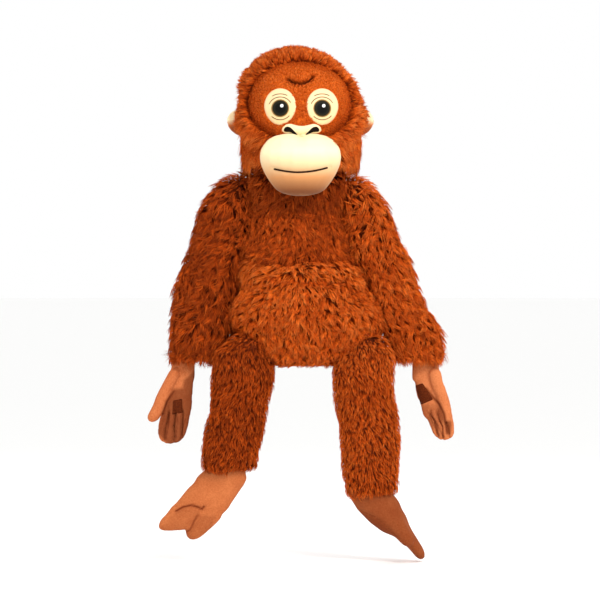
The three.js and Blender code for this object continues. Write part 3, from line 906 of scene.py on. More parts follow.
def hoodArea(side):
    sign = sides[side]

    def allowed(spots):
        outside = (fromFaceEdge(spots) > 0) | (spots[:, 1] > -12 * mm)
        own = (spots[:, 0] - hood["part"]) * sign > 0
        crowded = 1 + 1.2 * ((fromFaceEdge(spots) < 22 * mm) & (spots[:, 1] < 0))
        return outside * own * crowded * (spots[:, 2] > headLow[2] + 2 * mm)

    return allowed


def hoodLength(spots):
    near = (fromFaceEdge(spots) < 26 * mm) & (spots[:, 1] < 5 * mm)
    low = rampUp(-spots[:, 2], -faceMiddle[2] + 12 * mm, -faceMiddle[2] + 50 * mm)
    beside = bell(spots[:, 2] - earZ, 22 * mm) * (np.abs(spots[:, 0]) > 56 * mm)
    return 1 - 0.25 * near * (1 - low) + 0.75 * low + 0.15 * beside


def makeHead():
    covers = ["hood_left", "hood_right", "face_panel", "head_stuffing"]
    skin = skinUnder("head_skin", covers, hood["voxel"], hood["inset"])
    face = newPiece("face_cloth", skin.data.copy())

    spots = pointsOf(skin)
    away = fromFaceEdge(spots)
    front = rampUp(-spots[:, 1], -5 * mm, 15 * mm)
    shape = np.sin(np.clip(away / rollWidth(spots), 0, 1) * math.pi) ** 0.7
    tuck = bell(np.clip(away + 1 * mm, -30 * mm, 0), 8 * mm) * (away < 0)
    moved = hood["roll"] * shape * front - (away < 0) * front * 4 * mm * np.clip(tuck + 0.6, 0, 1)
    movePoints(skin, spots + normalsOf(skin) * moved[:, None])
    pullAbout(skin, hood["pulls"], 14 * mm)
    finishPiece(skin, backingFinish, "head", ["head_stuffing"])

    for side in sides:

        def toneAt(spots):
            # painted light on one side, and painted shade at the rim round the face and along the parting
            inner = bell(fromFaceEdge(spots), 5 * mm)
            parting = bell(spots[:, 0] - hood["part"], 2.5 * mm)
            return hood["lighter"][side] - 0.25 * inner * (spots[:, 1] < 0) - 0.3 * parting

        fur = dict(hood["fur"], seed=hood["seed"][side])
        piece = growFur(f"hood_fur_{side}", skin, fur, hoodComb, hoodArea(side), hoodLength, toneAt)
        finishPiece(piece, pileFinish, "head", [f"hood_{side}"])
    return face


def shapeFace(face):
    # the short-pile panel: cut to its oval, given a brow and a fold, and backed
    form = bmesh.new()
    form.from_mesh(face.data)
    centres = np.array([f.calc_center_median() for f in form.faces])
    outside = (fromFaceEdge(centres) > 5 * mm) | (centres[:, 1] > -6 * mm)
    form.faces.ensure_lookup_table()
    bmesh.ops.delete(form, geom=[form.faces[i] for i in np.flatnonzero(outside)], context="FACES")
    form.to_mesh(face.data)
    form.free()
    modify(face, "SUBSURF", levels=1, render_levels=1)
    spots = pointsOf(face)
    ways = normalsOf(face)
    x = spots[:, 0] - faceMiddle[0]
    z = spots[:, 2]
    browZ = faceHigh[2] - 24 * mm
    forehead = np.exp(-((z - browZ) / (15 * mm)) ** 2 - (x / (40 * mm)) ** 2)
    edge = bell(fromFaceEdge(spots), 9 * mm)
    rise = 4.6 * mm + 4 * mm * forehead - 3.5 * mm * edge
    line = smoothRoute([(px * mm, pz * mm) for px, pz in brow["points"]], 40)
    gap = np.min(np.hypot(spots[:, 0:1] - line[:, 0], spots[:, 2:3] - line[:, 1]), axis=1)
    rise = rise - brow["fold"] * bell(gap, brow["reach"])
    movePoints(face, spots + ways * rise[:, None])
    modify(face, "SOLIDIFY", thickness=1.6 * mm, offset=-1)
    # painted shade along the brow fold
    shadePaint(face, {"lines": [(brow["points"], brow["shadePaint"], 1)]})


facePiece = makeHead()
shapeFace(facePiece)
finishPiece(facePiece, shortPile(), "head", ["face_panel"])

# muzzle, nose and mouth

muzzleLow, muzzleHigh = boxOf("muzzle_cover")
muzzleX = middleAndHalf("muzzle_cover")[0][0]
mouthLow = boxOf("mouth_stitch")[0]


def makeMuzzle():
    muzzle = plump("muzzle", ["muzzle_cover", "muzzle_stuffing"], 2.2 * mm, 8)
    modify(muzzle, "SUBSURF", levels=1, render_levels=1)
    spots = pointsOf(muzzle)
    ways = normalsOf(muzzle)
    x = spots[:, 0] - muzzleX
    top = rampUp(spots[:, 2], muzzleHigh[2] - 22 * mm, muzzleHigh[2] - 2 * mm)
    dip = bell(x, 9 * mm) * top
    mouthZ = mouthLow[2] + 3 * mm + (x / (36 * mm)) ** 2 * 5 * mm
    crease = bell(spots[:, 2] - mouthZ, 3 * mm) * (np.abs(x) < 40 * mm) * (spots[:, 1] < -60 * mm)
    lip = bell(spots[:, 2] - mouthZ + 9 * mm, 7 * mm) * bell(x, 26 * mm)
    rise = 0.6 * mm - 4 * mm * dip - 1.5 * mm * crease + 1.5 * mm * lip
    movePoints(muzzle, spots + ways * rise[:, None])
    # the muzzle's darker, warmer bottom is partly the cloth's own tan and partly painted shade under the muzzle
    jersey = creamJersey("muzzleJersey", shade(255, 238, 190), shade(202, 138, 84), shade(120, 62, 24),
                         muzzleLow[2] + 66 * mm, muzzleLow[2] + 6 * mm)
    finishPiece(muzzle, jersey, "head", ["muzzle_cover", "muzzle_stuffing"])
    return muzzle


muzzlePiece = makeMuzzle()
patchJersey = creamJersey("patchJersey", shade(244, 214, 166), shade(238, 202, 150), shade(230, 188, 134),
                          faceHigh[2] - 30 * mm, faceLow[2])
muzzleTree = surfaceOf(muzzlePiece)
noseLow, noseHigh = boxOf("nose_patch")
nose = {
    "stretch": 1.05, "shift": np.array([1.4, 0, 2.2]) * mm, "thick": 4.2 * mm, "slotThick": 0.9 * mm,
    "outline": [
        (-25, 0), (-22.5, 5.6), (-15.5, 9), (-7, 6.6), (0, 5.6), (7, 6.6), (15.5, 8.6), (22.5, 5.6), (25, 0.5),
        (21, -3.4), (14, -3.6), (8, -6), (3, -8.6), (0, -9), (-4, -8.4), (-9, -5.4), (-14, -3.4), (-21, -3.4),
    ],
    "slot": [(21.5, 1.4), (18.5, 4.4), (14, 3.6), (9.5, -0.6), (5, -6), (9, -4.9), (13.5, -2.6), (20.5, -1.8)],
}


def makeNose():
    middle = (noseLow + noseHigh) / 2 + nose["shift"]

    def placed(points, sign, count):
        spots = [(middle[0] + nose["stretch"] * sign * x * mm, middle[2] + z * mm) for x, z in points]
        return smoothLoop(spots, count)

    patch = sewnOn("nose", placed(nose["outline"], 1, 60), surfaceOf(facePiece, muzzlePiece), 0.8 * mm,
                   nose["thick"], rings=10)
    modify(patch, "SMOOTH", factor=0.5, iterations=5)
    jersey = creamJersey("noseJersey", shade(255, 232, 184), shade(250, 222, 172), shade(244, 208, 152),
                         noseHigh[2], noseLow[2])
    finishPiece(patch, jersey, "head", ["nose_patch"])
    tree = surfaceOf(patch, muzzlePiece)
    black = darkThread("nostrilThread", shade(12, 7, 4), shade(34, 20, 12))
    for side, sign in sides.items():
        slot = sewnOn(f"nostril_slot_{side}", placed(nose["slot"], sign, 32), tree, 0.3 * mm,
                      nose["slotThick"], rings=5)
        finishPiece(slot, black, "head", [f"nostril_{side}"])


def makeMouth():
    # small back stitches, end to end along the smile
    points = [(-33.5, 3.6), (-18, 0.6), (-2, -0.6), (18, 1.4), (38, 6.4)]
    line = smoothRoute([(muzzleX + x * mm, mouthLow[2] + 2.6 * mm + z * mm) for x, z in points], 64)
    route = []
    for x, z in line:
        hit, normal = touchFront(muzzleTree, x, z)
        route.append(hit + normal * 0.35 * mm)
    stitches = [route[i:i + 5] for i in range(0, len(route) - 4, 4)]
    mouth = threadLine("mouth_stitches", stitches, 1.15 * mm)
    dark = darkThread("mouthThread", shade(34, 12, 4), shade(70, 34, 18))
    finishPiece(mouth, dark, "head", ["mouth_stitch"])


makeNose()
makeMouth()
print("muzzle made")

# eyes

eye = {"radius": 11.4 * mm, "glint": (2.0 * mm, 3.2 * mm), "glintRadius": 2.4 * mm, "thick": 1.6 * mm}
lids = {
    "over": {"radius": 15.2, "from": 28, "to": 158, "shift": 0.5},
    "high": {"radius": 19.2, "from": 62, "to": 122, "shift": 0.8},
    "under": {"radius": 14.8, "from": 222, "to": 322, "shift": -1.2},
}


def makeEye(side, faceTree):
    middle = middleAndHalf(f"eye_{side}")[0]
    patchMiddle, half = middleAndHalf(f"eye_patch_{side}")
    outline = ovalOutline(patchMiddle[0], patchMiddle[2], half[0] + 0.6 * mm, half[2] + 0.6 * mm, 44, 0.1)
    patch = sewnOn(f"eye_patch_cloth_{side}", outline, faceTree, 0.5 * mm, 1.5 * mm, 0.35, 12)
    finishPiece(patch, patchJersey, "head", [f"eye_patch_{side}"])
    tree = surfaceOf(patch)
    disc = sewnOn(f"eye_disc_{side}", ovalOutline(middle[0], middle[2], eye["radius"], eye["radius"]), tree,
                  0.4 * mm, eye["thick"], 0.5, 10)
    finishPiece(disc, eyeStitching(side, middle, eye), "head", [f"eye_{side}"])
    routes = []
    for lid in lids.values():
        route = []
        for turn in np.radians(np.linspace(lid["from"], lid["to"], 26)):
            x = middle[0] + lid["radius"] * math.cos(turn) * mm
            z = middle[2] + (lid["radius"] * math.sin(turn) * 0.92 + lid["shift"]) * mm
            hit, normal = touchFront(tree, x, z)
            if hit is not None:
                route.append(hit + normal * 0.12 * mm)
        routes.append(route)
    threads = threadLine(f"lid_threads_{side}", routes, 0.45 * mm)
    finishPiece(threads, lidThread, "head")


lidThread = darkThread("lidThread", shade(74, 46, 20))
bareFace = surfaceOf(facePiece)
for side in sides:
    makeEye(side, bareFace)
print("eyes made")

# short pile over the face

faceFur = {
    "seed": 31, "count": 15000, "length": 4.6 * mm, "raise": 0.5, "width": 0.75 * mm, "gather": 0.35,
    "lockShare": 0.08, "stray": 0.25, "lockTurn": 0.2, "drift": 30 * mm, "driftTurn": 0.5, "sway": 0.05,
    "tone": 0.66, "lockTone": 0.035,
}


def faceComb(spots):
    ways = spots - faceMiddle + np.array([0, 0, 22 * mm])
    ways[:, 1] = 0
    return ways


def makeFacePile():
    patches = [middleAndHalf(f"eye_patch_{side}") for side in sides]

    def allowed(spots):
        free = np.ones(len(spots))
        for middle, half in patches:
            x = (spots[:, 0] - middle[0]) / (half[0] + 0.2 * mm)
            z = (spots[:, 2] - middle[2]) / (half[2] + 0.2 * mm)
            free *= (x * x + z * z) > 1
        return free * (gapTo(spots, brow["points"]) > 2 * mm)

    def toneAt(spots):
        # painted light and shade on the face pile: lighter towards the top, and painted shade in the brow fold
        # and round the face's rim
        gap = gapTo(spots, brow["points"])
        edge = bell(fromFaceEdge(spots), 6 * mm)
        high = rampUp(spots[:, 2], faceMiddle[2], faceHigh[2] - 20 * mm)
        return 0.14 * high - 0.8 * bell(gap, 3 * mm) - 0.25 * edge

    pile = growFur("face_pile", faceOutside(), faceFur, faceComb, allowed, toneAt=toneAt)
    finishPiece(pile, pileFinish, "head")


def faceOutside():
    # only the outer side of the face panel carries pile
    form = bmesh.new()
    form.from_mesh(facePiece.data)
    core = Vector((faceMiddle[0], 0, faceMiddle[2]))
    inner = [f for f in form.faces if f.normal.dot(f.calc_center_median() - core) < 0]
    bmesh.ops.delete(form, geom=inner, context="FACES")
    mesh = bpy.data.meshes.new("faceOutside")
    form.to_mesh(mesh)
    form.free()
    return SimpleNamespace(data=mesh)


makeFacePile()

# ears

def makeEarSide(kind, side, sign, material):
    # the ear leans out, and its tip is the widest part
    middle, half = middleAndHalf(f"ear_{kind}_{side}")
    piece = plump(f"ear_{kind}_cloth_{side}", [f"ear_{kind}_{side}"], 1.1 * mm, 4)
    spots = pointsOf(piece)
    if kind == "front":
        x = (spots[:, 0] - middle[0]) / half[0]
        z = (spots[:, 2] - middle[2]) / half[2]
        spots[:, 1] += np.clip(1 - (x * x + z * z) / 0.55, 0, 1) * (spots[:, 1] < middle[1]) * 1.8 * mm
    spots[:, 2] = earZ + (spots[:, 2] - earZ) * 0.86 + 1 * mm
    spots[:, 0] += sign * 3 * mm * rampUp(spots[:, 2], earZ - 16 * mm, earZ + 12 * mm)
    movePoints(piece, spots)
    finishPiece(piece, material, "head", [f"ear_{kind}_{side}"])


earBack = shortPile()
earFront = creamJersey("earJersey", shade(255, 230, 184), shade(190, 100, 50), shade(150, 64, 24),
                       earZ + 6 * mm, earZ - 6 * mm)
for side, sign in sides.items():
    makeEarSide("front", side, sign, earFront)
    makeEarSide("back", side, sign, earBack)
print("head made")

# arms and legs

armFur = dict(bodyFur, count=19400, tone=0.42)
legFur = dict(bodyFur, length=11.5 * mm, count=19400, lockShare=0.24, tone=0.45, gather=0.56, driftTurn=0.5,
              lockTurn=0.18, inset=2.6 * mm, width=0.85 * mm, sway=0.1)
# one side's arm and leg fur lighter, the other's darker: painted light and shade
limbSideLight = {"left": 0.11, "right": -0.15}
armPulls = {
    "left": [
        (111, 233, -17.1, -2.5), (120, 208, -10.5, -0.1), (129, 182, -9.1, 0.9), (139, 156, -7.7, 0.6),
        (147, 130, -1.1, 0.4), (156, 104, -3.6, 0.1), (168, 79, -6.1, -0.1), (179, 53, -3.4, -0.4),
        (187, 27, 0.6, -0.7), (186, 8, -5.9, 0.4), (104, 79, -8, -0.1), (113, 53, -17, -0.4),
        (128, 27, -18.5, 0.6), (133, 8, -13, 1.7), (90, 130, -3, 0.4), (77, 169, -9.6, 0.8),
        (71, 208, -12.3, -1.4), (92, 244, -15, -2),
    ],
    "right": [
        (-121, 233, 9.2, -1.2), (-131, 208, 0, 1.2), (-142, 182, 3.1, 0.9), (-156, 156, 8.2, 0.6),
        (-161, 130, 4.2, 0.4), (-165, 104, 1.6, 0.1), (-173, 79, 2.8, -0.1), (-174, 53, 1.5, -0.4),
        (-174, 27, 0.2, -0.7), (-175, 8, 4.7, 0.4), (-95, 79, 6.5, -0.1), (-103, 53, 17.5, -0.4),
        (-115, 27, 15, 0.6), (-121, 8, 13, 1.7), (-85, 130, 3, 0.4), (-80, 169, 7, 0.8), (-76, 208, 8.3, -1.4),
        (-99, 244, 7.5, 1),
    ],
}
legPulls = {
    "left": [
        (83, 12, 7, 30.4), (114, -3, 6.4, 26), (39, -14, 2.9, 20.7), (122, -24, -2, -1.2), (37, -34, 4.5, -1.3),
        (81, -44, 0.8, -1.4), (43, -70, 4.1, -1.6), (48, -106, 3.2, -2), (49, -133, 3.4, -2.3),
        (50, -155, 8.3, -2.5), (124, -52, 1.4, -1.5), (127, -88, 0.4, -1.8), (129, -124, -1.8, -2.2),
        (129, -151, -3, -2.5), (72, -169, -1.9, -6.5), (120, -168, -2, 1),
    ],
    "right": [
        (-81, 12, 9, 32.3), (-112, -4, -3, 24), (-118, -29, -1.5, -1.2), (-38, -9, 2, 23.7),
        (-32, -27, -5.7, -1.2), (-80, -44, -0.8, -1.4), (-36, -53, -8.7, -1.5), (-44, -75, -4.4, -1.7),
        (-50, -94, -1.8, -1.9), (-54, -119, -3, -2.1), (-127, -73, 1.6, -1.7), (-130, -94, 3, -1.9),
        (-132, -114, 3.2, -2.1), (-131, -129, -1.3, -4.8), (-57, -132, -4.5, -0.2),
    ],
}


def limbComb(start, end, outward):
    axis = unit(end - start)

    def comb(spots):
        return np.tile(axis + np.array([outward, 0.0, 0.0]), (len(spots), 1))

    return comb


def finishLimb(skin, tufts, covers, joint, reach):
    # dress the skin and its tufts, fix them in place in the world, and hide the frame nodes they cover
    dress(skin, backingFinish)
    dress(tufts, pileFinish)
    for piece in (skin, tufts):
        tuple(joint - reach)
        tuple(joint + reach)
        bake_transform(piece)
    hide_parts(covers[0])
    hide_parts(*covers[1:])


def makeArm(side, sign):
    shoulder, elbow, wrist = (jointPlaces[f"{name}_{side}"] for name in ("shoulder", "elbow", "wrist"))
    covers = [f"sleeve_{side}", f"upper_arm_stuffing_{side}", f"forearm_stuffing_{side}"]
    skin = skinUnder(f"sleeve_skin_{side}", covers, bodyFur["voxel"], armFur["inset"])
    pullAbout(skin, armPulls[side], 20 * mm)
    movePoints(skin, pointsOf(skin) + normalsOf(skin) * 2 * mm * waves(pointsOf(skin), 38 * mm, sign)[:, None])
    fur = dict(armFur, seed=41 if side == "left" else 42)

    def allowed(spots):
        return (np.linalg.norm(spots - wrist, axis=1) > 16 * mm).astype(float)

    def toneAt(spots):
        # painted light and shade by side
        return np.full(len(spots), limbSideLight[side])

    def raiseAt(spots):
        inner = rampUp((shoulder[0] - spots[:, 0]) * sign, 4 * mm, 22 * mm)
        high = rampUp(spots[:, 2], elbow[2] - 20 * mm, elbow[2] + 20 * mm)
        return 1 + 0.55 * inner * high

    comb = limbComb(shoulder, wrist, sign * 0.12)
    tufts = growFur(f"sleeve_fur_{side}", skin, fur, comb, allowed, toneAt=toneAt, raiseAt=raiseAt)
    reach = unit(elbow - shoulder) * 26 * mm
    finishLimb(skin, tufts, covers, elbow, reach)


def makeLeg(side, sign):
    hip, knee, ankle = (jointPlaces[f"{name}_{side}"] for name in ("hip", "knee", "ankle"))
    covers = [f"leg_cover_{side}", f"thigh_stuffing_{side}", f"shank_stuffing_{side}"]
    skin = skinUnder(f"leg_skin_{side}", covers, bodyFur["voxel"], legFur["inset"])
    pullAbout(skin, legPulls[side], 16 * mm)
    spots = pointsOf(skin)
    spots[:, 1] -= 9 * mm * rampUp(spots[:, 2], hip[2] - 25 * mm, hip[2] + 25 * mm)
    movePoints(skin, spots + normalsOf(skin) * 1.2 * mm * waves(spots, 34 * mm, sign + 4)[:, None])
    fur = dict(legFur, seed=51 if side == "left" else 52)

    def allowed(spots):
        return (np.linalg.norm(spots - ankle, axis=1) > 14 * mm).astype(float)

    def toneAt(spots):
        # painted light and shade by side
        return np.full(len(spots), limbSideLight[side] * 0.8)

    comb = limbComb(hip, ankle, sign * 0.1)
    tufts = growFur(f"leg_fur_{side}", skin, fur, comb, allowed, toneAt=toneAt)
    reach = unit(knee - hip) * 22 * mm
    finishLimb(skin, tufts, covers, knee, reach)


for side, sign in sides.items():
    makeArm(side, sign)
    makeLeg(side, sign)
print("limbs made")

# hands

hand = {
    "voxel": 1.5 * mm, "fingers": 4, "slot": 0.86, "slotWidth": 1.3 * mm, "scallop": 0.8 * mm, "root": 46 * mm,
    "tip": 12 * mm, "band": 8 * mm, "ownDepth": (-14 * mm, -11.5 * mm), "fill": 0.6,
}
handPulls = {
    "left": [
        (147, -3, -2.7, -4.6), (148, -32, 1.1, -1.3), (153, -52, 4.6, -1.5), (161, -82, 8.9, -0.5),
        (168, -94, 8.1, 1.6), (182, -100, 3.7, 3.4), (194, -92, 2.9, 1.8), (195, -84, 2.9, 2.8),
        (193, -66, 2.3, 1.1), (186, -37, 3.3, -1.3), (179, -7, 2.9, -1), (168, -16, -0.1, -1.1),
        (177, -61, 3.6, -0.6),
    ],
    "right": [
        (-166, -4, -5, -1), (-179, -30, -5.5, -1.2), (-194, -58, -5.6, -4.5), (-188, -69, -7.7, -5.8),
        (-182, -65, -0.7, -0.3), (-183, -86, -4.3, -0.1), (-176, -97, -5.1, -3.1), (-169, -100, -1.7, -1.9),
        (-161, -99, 1.7, -0.3), (-151, -90, -2.4, -0.2), (-141, -58, -4.4, -1.5), (-137, -32, -6, -1.3),
        (-136, -4, -3.9, -1), (-168, -48, -3.4, -1.4), (-159, -71, -3.3, -1.7), (-163, 11, -3.3, -0.8),
        (-138, 11, -2.2, -0.8),
    ],
}
# painted shade on the hands: dark areas on the palms and dark lines along the creases and finger slots, each
# with how dark
handShade = {
    "left": {
        "areas": [
            ([(155.9, -52.3), (178.7, -48.6), (185.1, -62.3), (182.4, -89.7), (169.6, -82.4)], 0.35),
        ],
        "lines": [
            ([
                (161.4, -30.3), (169.6, -40.4), (178.7, -50.4), (184.2, -62.3), (186.9, -76.9), (188.8, -87.9),
            ], 2.0, 1.0),
            ([(164.1, -60.5), (169.6, -73.3), (178.7, -91.5)], 1.4, 0.8),
            ([(169.6, -66), (176.9, -78.8), (184.2, -93.4)], 1.4, 0.8),
            ([(192.4, -75.1), (191.5, -87.9)], 2.6, 0.8),
        ],
    },
    "right": {
        "areas": [
            ([
                (-139.5, -6.7), (-153.6, -19.1), (-155.3, -29.1), (-167.4, -30.8), (-175.7, -46.5), (-181, -64),
                (-189.3, -88), (-171.1, -106.3), (-154.5, -101.3), (-139.5, -63.1), (-136.2, -21.6),
            ], 0.74),
        ],
        "lines": [
            ([(-166.1, -33.2), (-175.2, -46.5), (-181, -64)], 2.2, 1.0),
            ([(-171.9, -61.5), (-174.1, -79.7), (-176.9, -96.3)], 1.6, 1.0),
            ([(-161.1, -66.5), (-162.8, -83.1), (-164.4, -99.7)], 1.6, 1.0),
            ([(-152, -69.8), (-156.1, -86.4), (-158.6, -96.3)], 1.6, 1.0),
        ],
    },
}
# the third colour is the painted shade on the palms and in the finger slots
handFinish = bareCloth("handCloth", shade(206, 122, 74), shade(178, 92, 50), shade(108, 46, 20))


def makeHand(side):
    covers = [f"hand_palm_{side}", f"hand_back_{side}", f"hand_stuffing_{side}", f"thumb_{side}"]
    piece = plump(f"hand_{side}_cloth", covers, hand["voxel"], 6)
    low = boxOf(f"hand_stuffing_{side}")[0]
    core = pointsOf(nodes[f"hand_stuffing_{side}"])

    def middleAt(z):
        band = core[np.abs(core[:, 2] - z) < hand["band"], 0]
        return (band.min() + band.max()) / 2, (band.max() - band.min()) / 2

    rootZ = low[2] + hand["root"]
    tipX = middleAt(low[2] + hand["tip"])[0]
    rootX, rootHalf = middleAt(rootZ)
    spots = pointsOf(piece)
    share = np.clip((rootZ - spots[:, 2]) / (rootZ - low[2]), -1, 1.2)
    centre = rootX + (tipX - rootX) * share
    halfWide = rootHalf + 2 * mm
    across = (spots[:, 0] - centre) / halfWide
    fade = rampUp(share, 0.0, 0.25)
    # the thumb lies in front of the palm, so only what is near the mitten's own depth is quilted
    own = rampUp(spots[:, 1], *hand["ownDepth"])
    for i in range(1, hand["fingers"]):
        at = -1 + 2 * i / hand["fingers"]
        groove = bell((across - at) * halfWide, hand["slotWidth"]) * fade * own
        spots[:, 1] *= 1 - hand["slot"] * groove
        spots[:, 2] += groove * hand["scallop"] * rampUp(share, 0.85, 1.0)
    movePoints(piece, spots)
    pullAbout(piece, handPulls[side], 10 * mm)
    modify(piece, "SMOOTH", factor=0.4, iterations=1)
    # painted shade on the palm and in the creases and finger slots
    shadePaint(piece, handShade[side], 3 * mm)
    finishPiece(piece, handFinish, f"hand_{side}", covers)
    makeTape(side, piece)


tapeCorners = {
    "hook_patch": [(147.7, -26.7), (156.8, -23.0), (170.5, -44.0), (155.0, -51.3)],
    "loop_patch": [(-167.4, -45.7), (-156.1, -43.2), (-155.3, -61.5), (-168.6, -64.0)],
}


def makeTape(side, palm):
    name = "hook_patch" if side == "left" else "loop_patch"
    corners = np.array(tapeCorners[name], float) * mm
    outline = []
    for corner, after in zip(corners, np.roll(corners, -1, axis=0)):
        outline += [corner + (after - corner) * share for share in (0.06, 0.35, 0.65, 0.94)]
    tape = sewnOn(f"{name}_tape", outline, surfaceOf(palm), 0.5 * mm, 0.9 * mm, 0.2, 8)
    finishPiece(tape, tapeFinish, f"hand_{side}", [name])


tapeFinish = hookTape()
for side in sides:
    makeHand(side)
print("hands made")

# feet

footPulls = {
    "left": [
        (74, -169, -13, 1), (79, -184, -6.9, -1.9), (90, -195, -3.7, -9.3), (106, -206, 1.1, -11.6),
        (117, -218, 4.8, -4.6), (127, -231, 5.8, -2), (139, -243, 6, -1.2), (152, -252, 3.4, 0.2),
        (157, -245, 2.1, -1.6), (155, -236, 2.5, -1.5), (148, -224, 1.5, -1.4), (139, -207, 1.8, -3.4),
        (130, -191, 5.3, -2.9), (114, -170, 8.1, -0.8), (99, -187, 1, -4.6), (124, -211, 4, -4.9),
        (94, -160, -2.7, -0.7),
    ],
    "right": [
        (-148, -150, 1.8, -7.4), (-163, -165, 1.7, -10.9), (-174, -182, 1.9, -6.9), (-181, -200, -2.7, -6.6),
        (-176, -210, -9.7, -1.9), (-166, -214, -7.5, -0.6), (-155, -210, -4.9, -2.6), (-142, -206, -10.2, -8.8),
        (-138, -214, -12.7, -8.1), (-130, -217, -16.3, -10.6), (-121, -210, -8.7, -10.5),
        (-115, -198, -2.9, -11.3), (-110, -187, 2.9, -11.5), (-108, -181, 5.8, -12.5), (-89, -159, 2.6, -12.9),
        (-77, -149, -0.8, -9.1), (-73, -139, 1.8, -5.7), (-128, -133, -3, -6.4), (-102, -127, -1, -3),
        (-130, -177, -1.3, -6), (-151, -190, -4.8, -6.2),
    ],
}
# painted shade on the feet: dark areas on the soles and dark lines along the creases; the lines also dent the
# cloth
footCreasesAndShade = {
    "left": {
        "areas": [
            ([
                (60, -162.8), (125.7, -162.8), (151.3, -199.3), (169.6, -254.1), (133, -254.1), (60, -208.5),
            ], 0.5),
            ([
                (74.6, -187.4), (91, -192.9), (102, -200.2), (114.8, -212.1), (123, -221.2), (140.4, -243.2),
                (155, -253.2), (125.7, -235.9), (78.2, -217.6),
            ], 0.72),
        ],
        "lines": [
            ([(75.5, -187.4), (91, -193.5), (102, -200.8), (114.8, -212.5), (123, -220.9)], 1.2, 0.8),
        ],
    },
    "right": {
        "areas": [
            ([
                (-162.8, -186.9), (-152.8, -181.9), (-142.8, -180.7), (-131.2, -186), (-135.4, -196),
                (-144.5, -212.6), (-152.8, -216.8), (-187.7, -217.6),
            ], 0.2),
            ([
                (-132.9, -194.3), (-111.3, -194.3), (-117.9, -212.6), (-147.8, -229.2), (-151.1, -219.2),
                (-142.8, -210.9),
            ], 0.3),
        ],
        "lines": [
            ([
                (-163.6, -188.5), (-154.5, -183), (-143.7, -180.7), (-135.4, -183), (-129.9, -186),
                (-127.1, -182.4),
            ], 1.3, 1.0),
            ([(-135.4, -194.3), (-140.3, -202.6), (-145.3, -212.6), (-152, -216.8)], 1.8, 0.75),
        ],
    },
}
footCreases = {"left": 2 * mm, "right": 3 * mm}
# the left foot's cloth is a darker copy of the right's: painted shade on that side; the third colour of each is
# the painted shade of the marked areas
footFinish = {
    "left": bareCloth("footCloth_left", shade(182, 101, 56), shade(156, 78, 39), shade(98, 36, 12)),
    "right": bareCloth("footCloth_right", shade(198, 114, 66), shade(172, 90, 48), shade(108, 40, 14)),
}


def makeFoot(side):
    covers = [f"foot_top_{side}", f"foot_sole_{side}", f"foot_stuffing_{side}", f"big_toe_{side}"]
    piece = plump(f"foot_{side}_cloth", covers, 1.7 * mm, 7)
    pullAbout(piece, footPulls[side], 12 * mm)
    modify(piece, "SMOOTH", factor=0.5, iterations=6)
    spots = pointsOf(piece)
    ways = normalsOf(piece)
    for route, width, amount in footCreasesAndShade[side]["lines"]:
        dent = bell(gapTo(spots, route), 1.6 * width * mm) * rampUp(-ways[:, 1], 0, 0.4)
        spots = spots - ways * (footCreases[side] * amount * dent)[:, None]
    movePoints(piece, spots)
    # painted shade on the sole and in the creases
    shadePaint(piece, footCreasesAndShade[side])
    finishPiece(piece, footFinish[side], f"foot_{side}", covers)


for side in sides:
    makeFoot(side)

# care label, and what lies inside

label = {
    "width": 24 * mm, "length": 34 * mm, "thick": 0.5 * mm, "rows": 18, "columns": 12,
    "stand": 4 * mm, "bend": 6 * mm, "curl": 1.2 * mm,
}


def makeLabel():
    # a blank ribbon, sewn in by its top edge
    high = boxOf("care_label")[1]
    middle = middleAndHalf("care_label")[0]
    rows, columns = label["rows"], label["columns"]
    points = []
    for row in range(rows + 1):
        t = row / rows
        for column in range(columns + 1):
            s = column / columns - 0.5
            x = middle[0] + s * label["width"]
            z = high[2] - t * label["length"]
            y = high[1] + label["stand"] + label["bend"] * math.sin(t * 1.9)
            points.append((x, y + label["curl"] * math.cos(s * 5) * t, z))
    faces = []
    for row in range(rows):
        for column in range(columns):
            a = row * (columns + 1) + column
            faces.append((a, a + 1, a + columns + 2, a + columns + 1))
    tag = pieceFrom("care_ribbon", points, faces)
    modify(tag, "SOLIDIFY", thickness=label["thick"], offset=0)
    tidyNormals(tag)
    finishPiece(tag, ribbon(), "torso", ["care_label"])


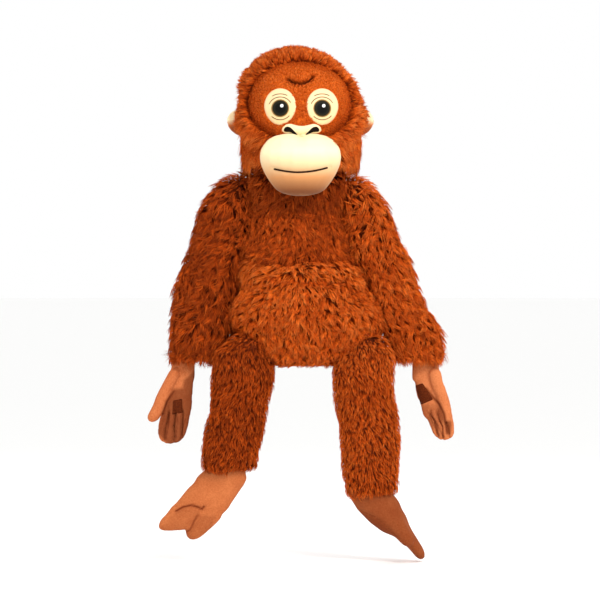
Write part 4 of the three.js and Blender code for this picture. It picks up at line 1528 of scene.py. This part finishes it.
makeLabel()
neck = nodes["neck_stuffing"]
neck.data.materials.clear()
neck.data.materials.append(backingFinish)
print("feet, label and neck made")

# stage, lights and camera

stage = {"floorSize": 40.0, "gap": 3 * mm}


def makeStage():
    # a pale floor
    floorZ = cadBox[0][2] - stage["gap"]
    bpy.ops.mesh.primitive_plane_add(size=stage["floorSize"], location=(0, 0, floorZ))
    floor = bpy.context.object
    floor.name = "floor"
    paper = Finish("paper", roughness=0.9, specular=0.1)
    paper.shader.inputs["Base Color"].default_value = shade(252, 252, 251)
    floor.data.materials.append(paper.material)


def addLight(name, place, aim, size, watts, colour=(1, 1, 1)):
    lamp = bpy.data.lights.new(name, "AREA")
    lamp.shape = "DISK"
    lamp.size = size
    lamp.energy = watts
    lamp.color = colour
    holder = newPiece(name, lamp)
    holder.location = place
    holder.rotation_euler = (Vector(aim) - Vector(place)).to_track_quat("-Z", "Y").to_euler()


def makeCamera():
    lens = {"away": 6.0, "rise": math.radians(1.0), "aim": (-0.0026, 0.0, 0.085), "wide": 0.781}
    camera = bpy.data.cameras.new("camera")
    camera.sensor_width = 36
    camera.lens = 36 * lens["away"] / lens["wide"]
    holder = newPiece("camera", camera)
    aim = Vector(lens["aim"])
    holder.location = aim + Vector((0, -math.cos(lens["rise"]), math.sin(lens["rise"]))) * lens["away"]
    holder.rotation_euler = (aim - holder.location).to_track_quat("-Z", "Y").to_euler()
    bpy.context.scene.camera = holder


makeStage()
aimAt = (0, 0, 0.1)
addLight("keyLight", (0.8, -1.5, 1.1), aimAt, 0.6, 22, (1, 0.97, 0.92))
addLight("fillLight", (-1.5, -1.2, 0.4), aimAt, 1.4, 3, (1, 0.98, 0.96))
addLight("backLight", (0.3, 1.5, 1.3), aimAt, 1.2, 10)
bpy.context.scene.view_settings.view_transform = "Standard"
makeCamera()
world = bpy.data.worlds.new("room")
world.use_nodes = True
world.node_tree.nodes["Background"].inputs["Color"].default_value = full
world.node_tree.nodes["Background"].inputs["Strength"].default_value = 1.0
bpy.context.scene.world = world

print("done")
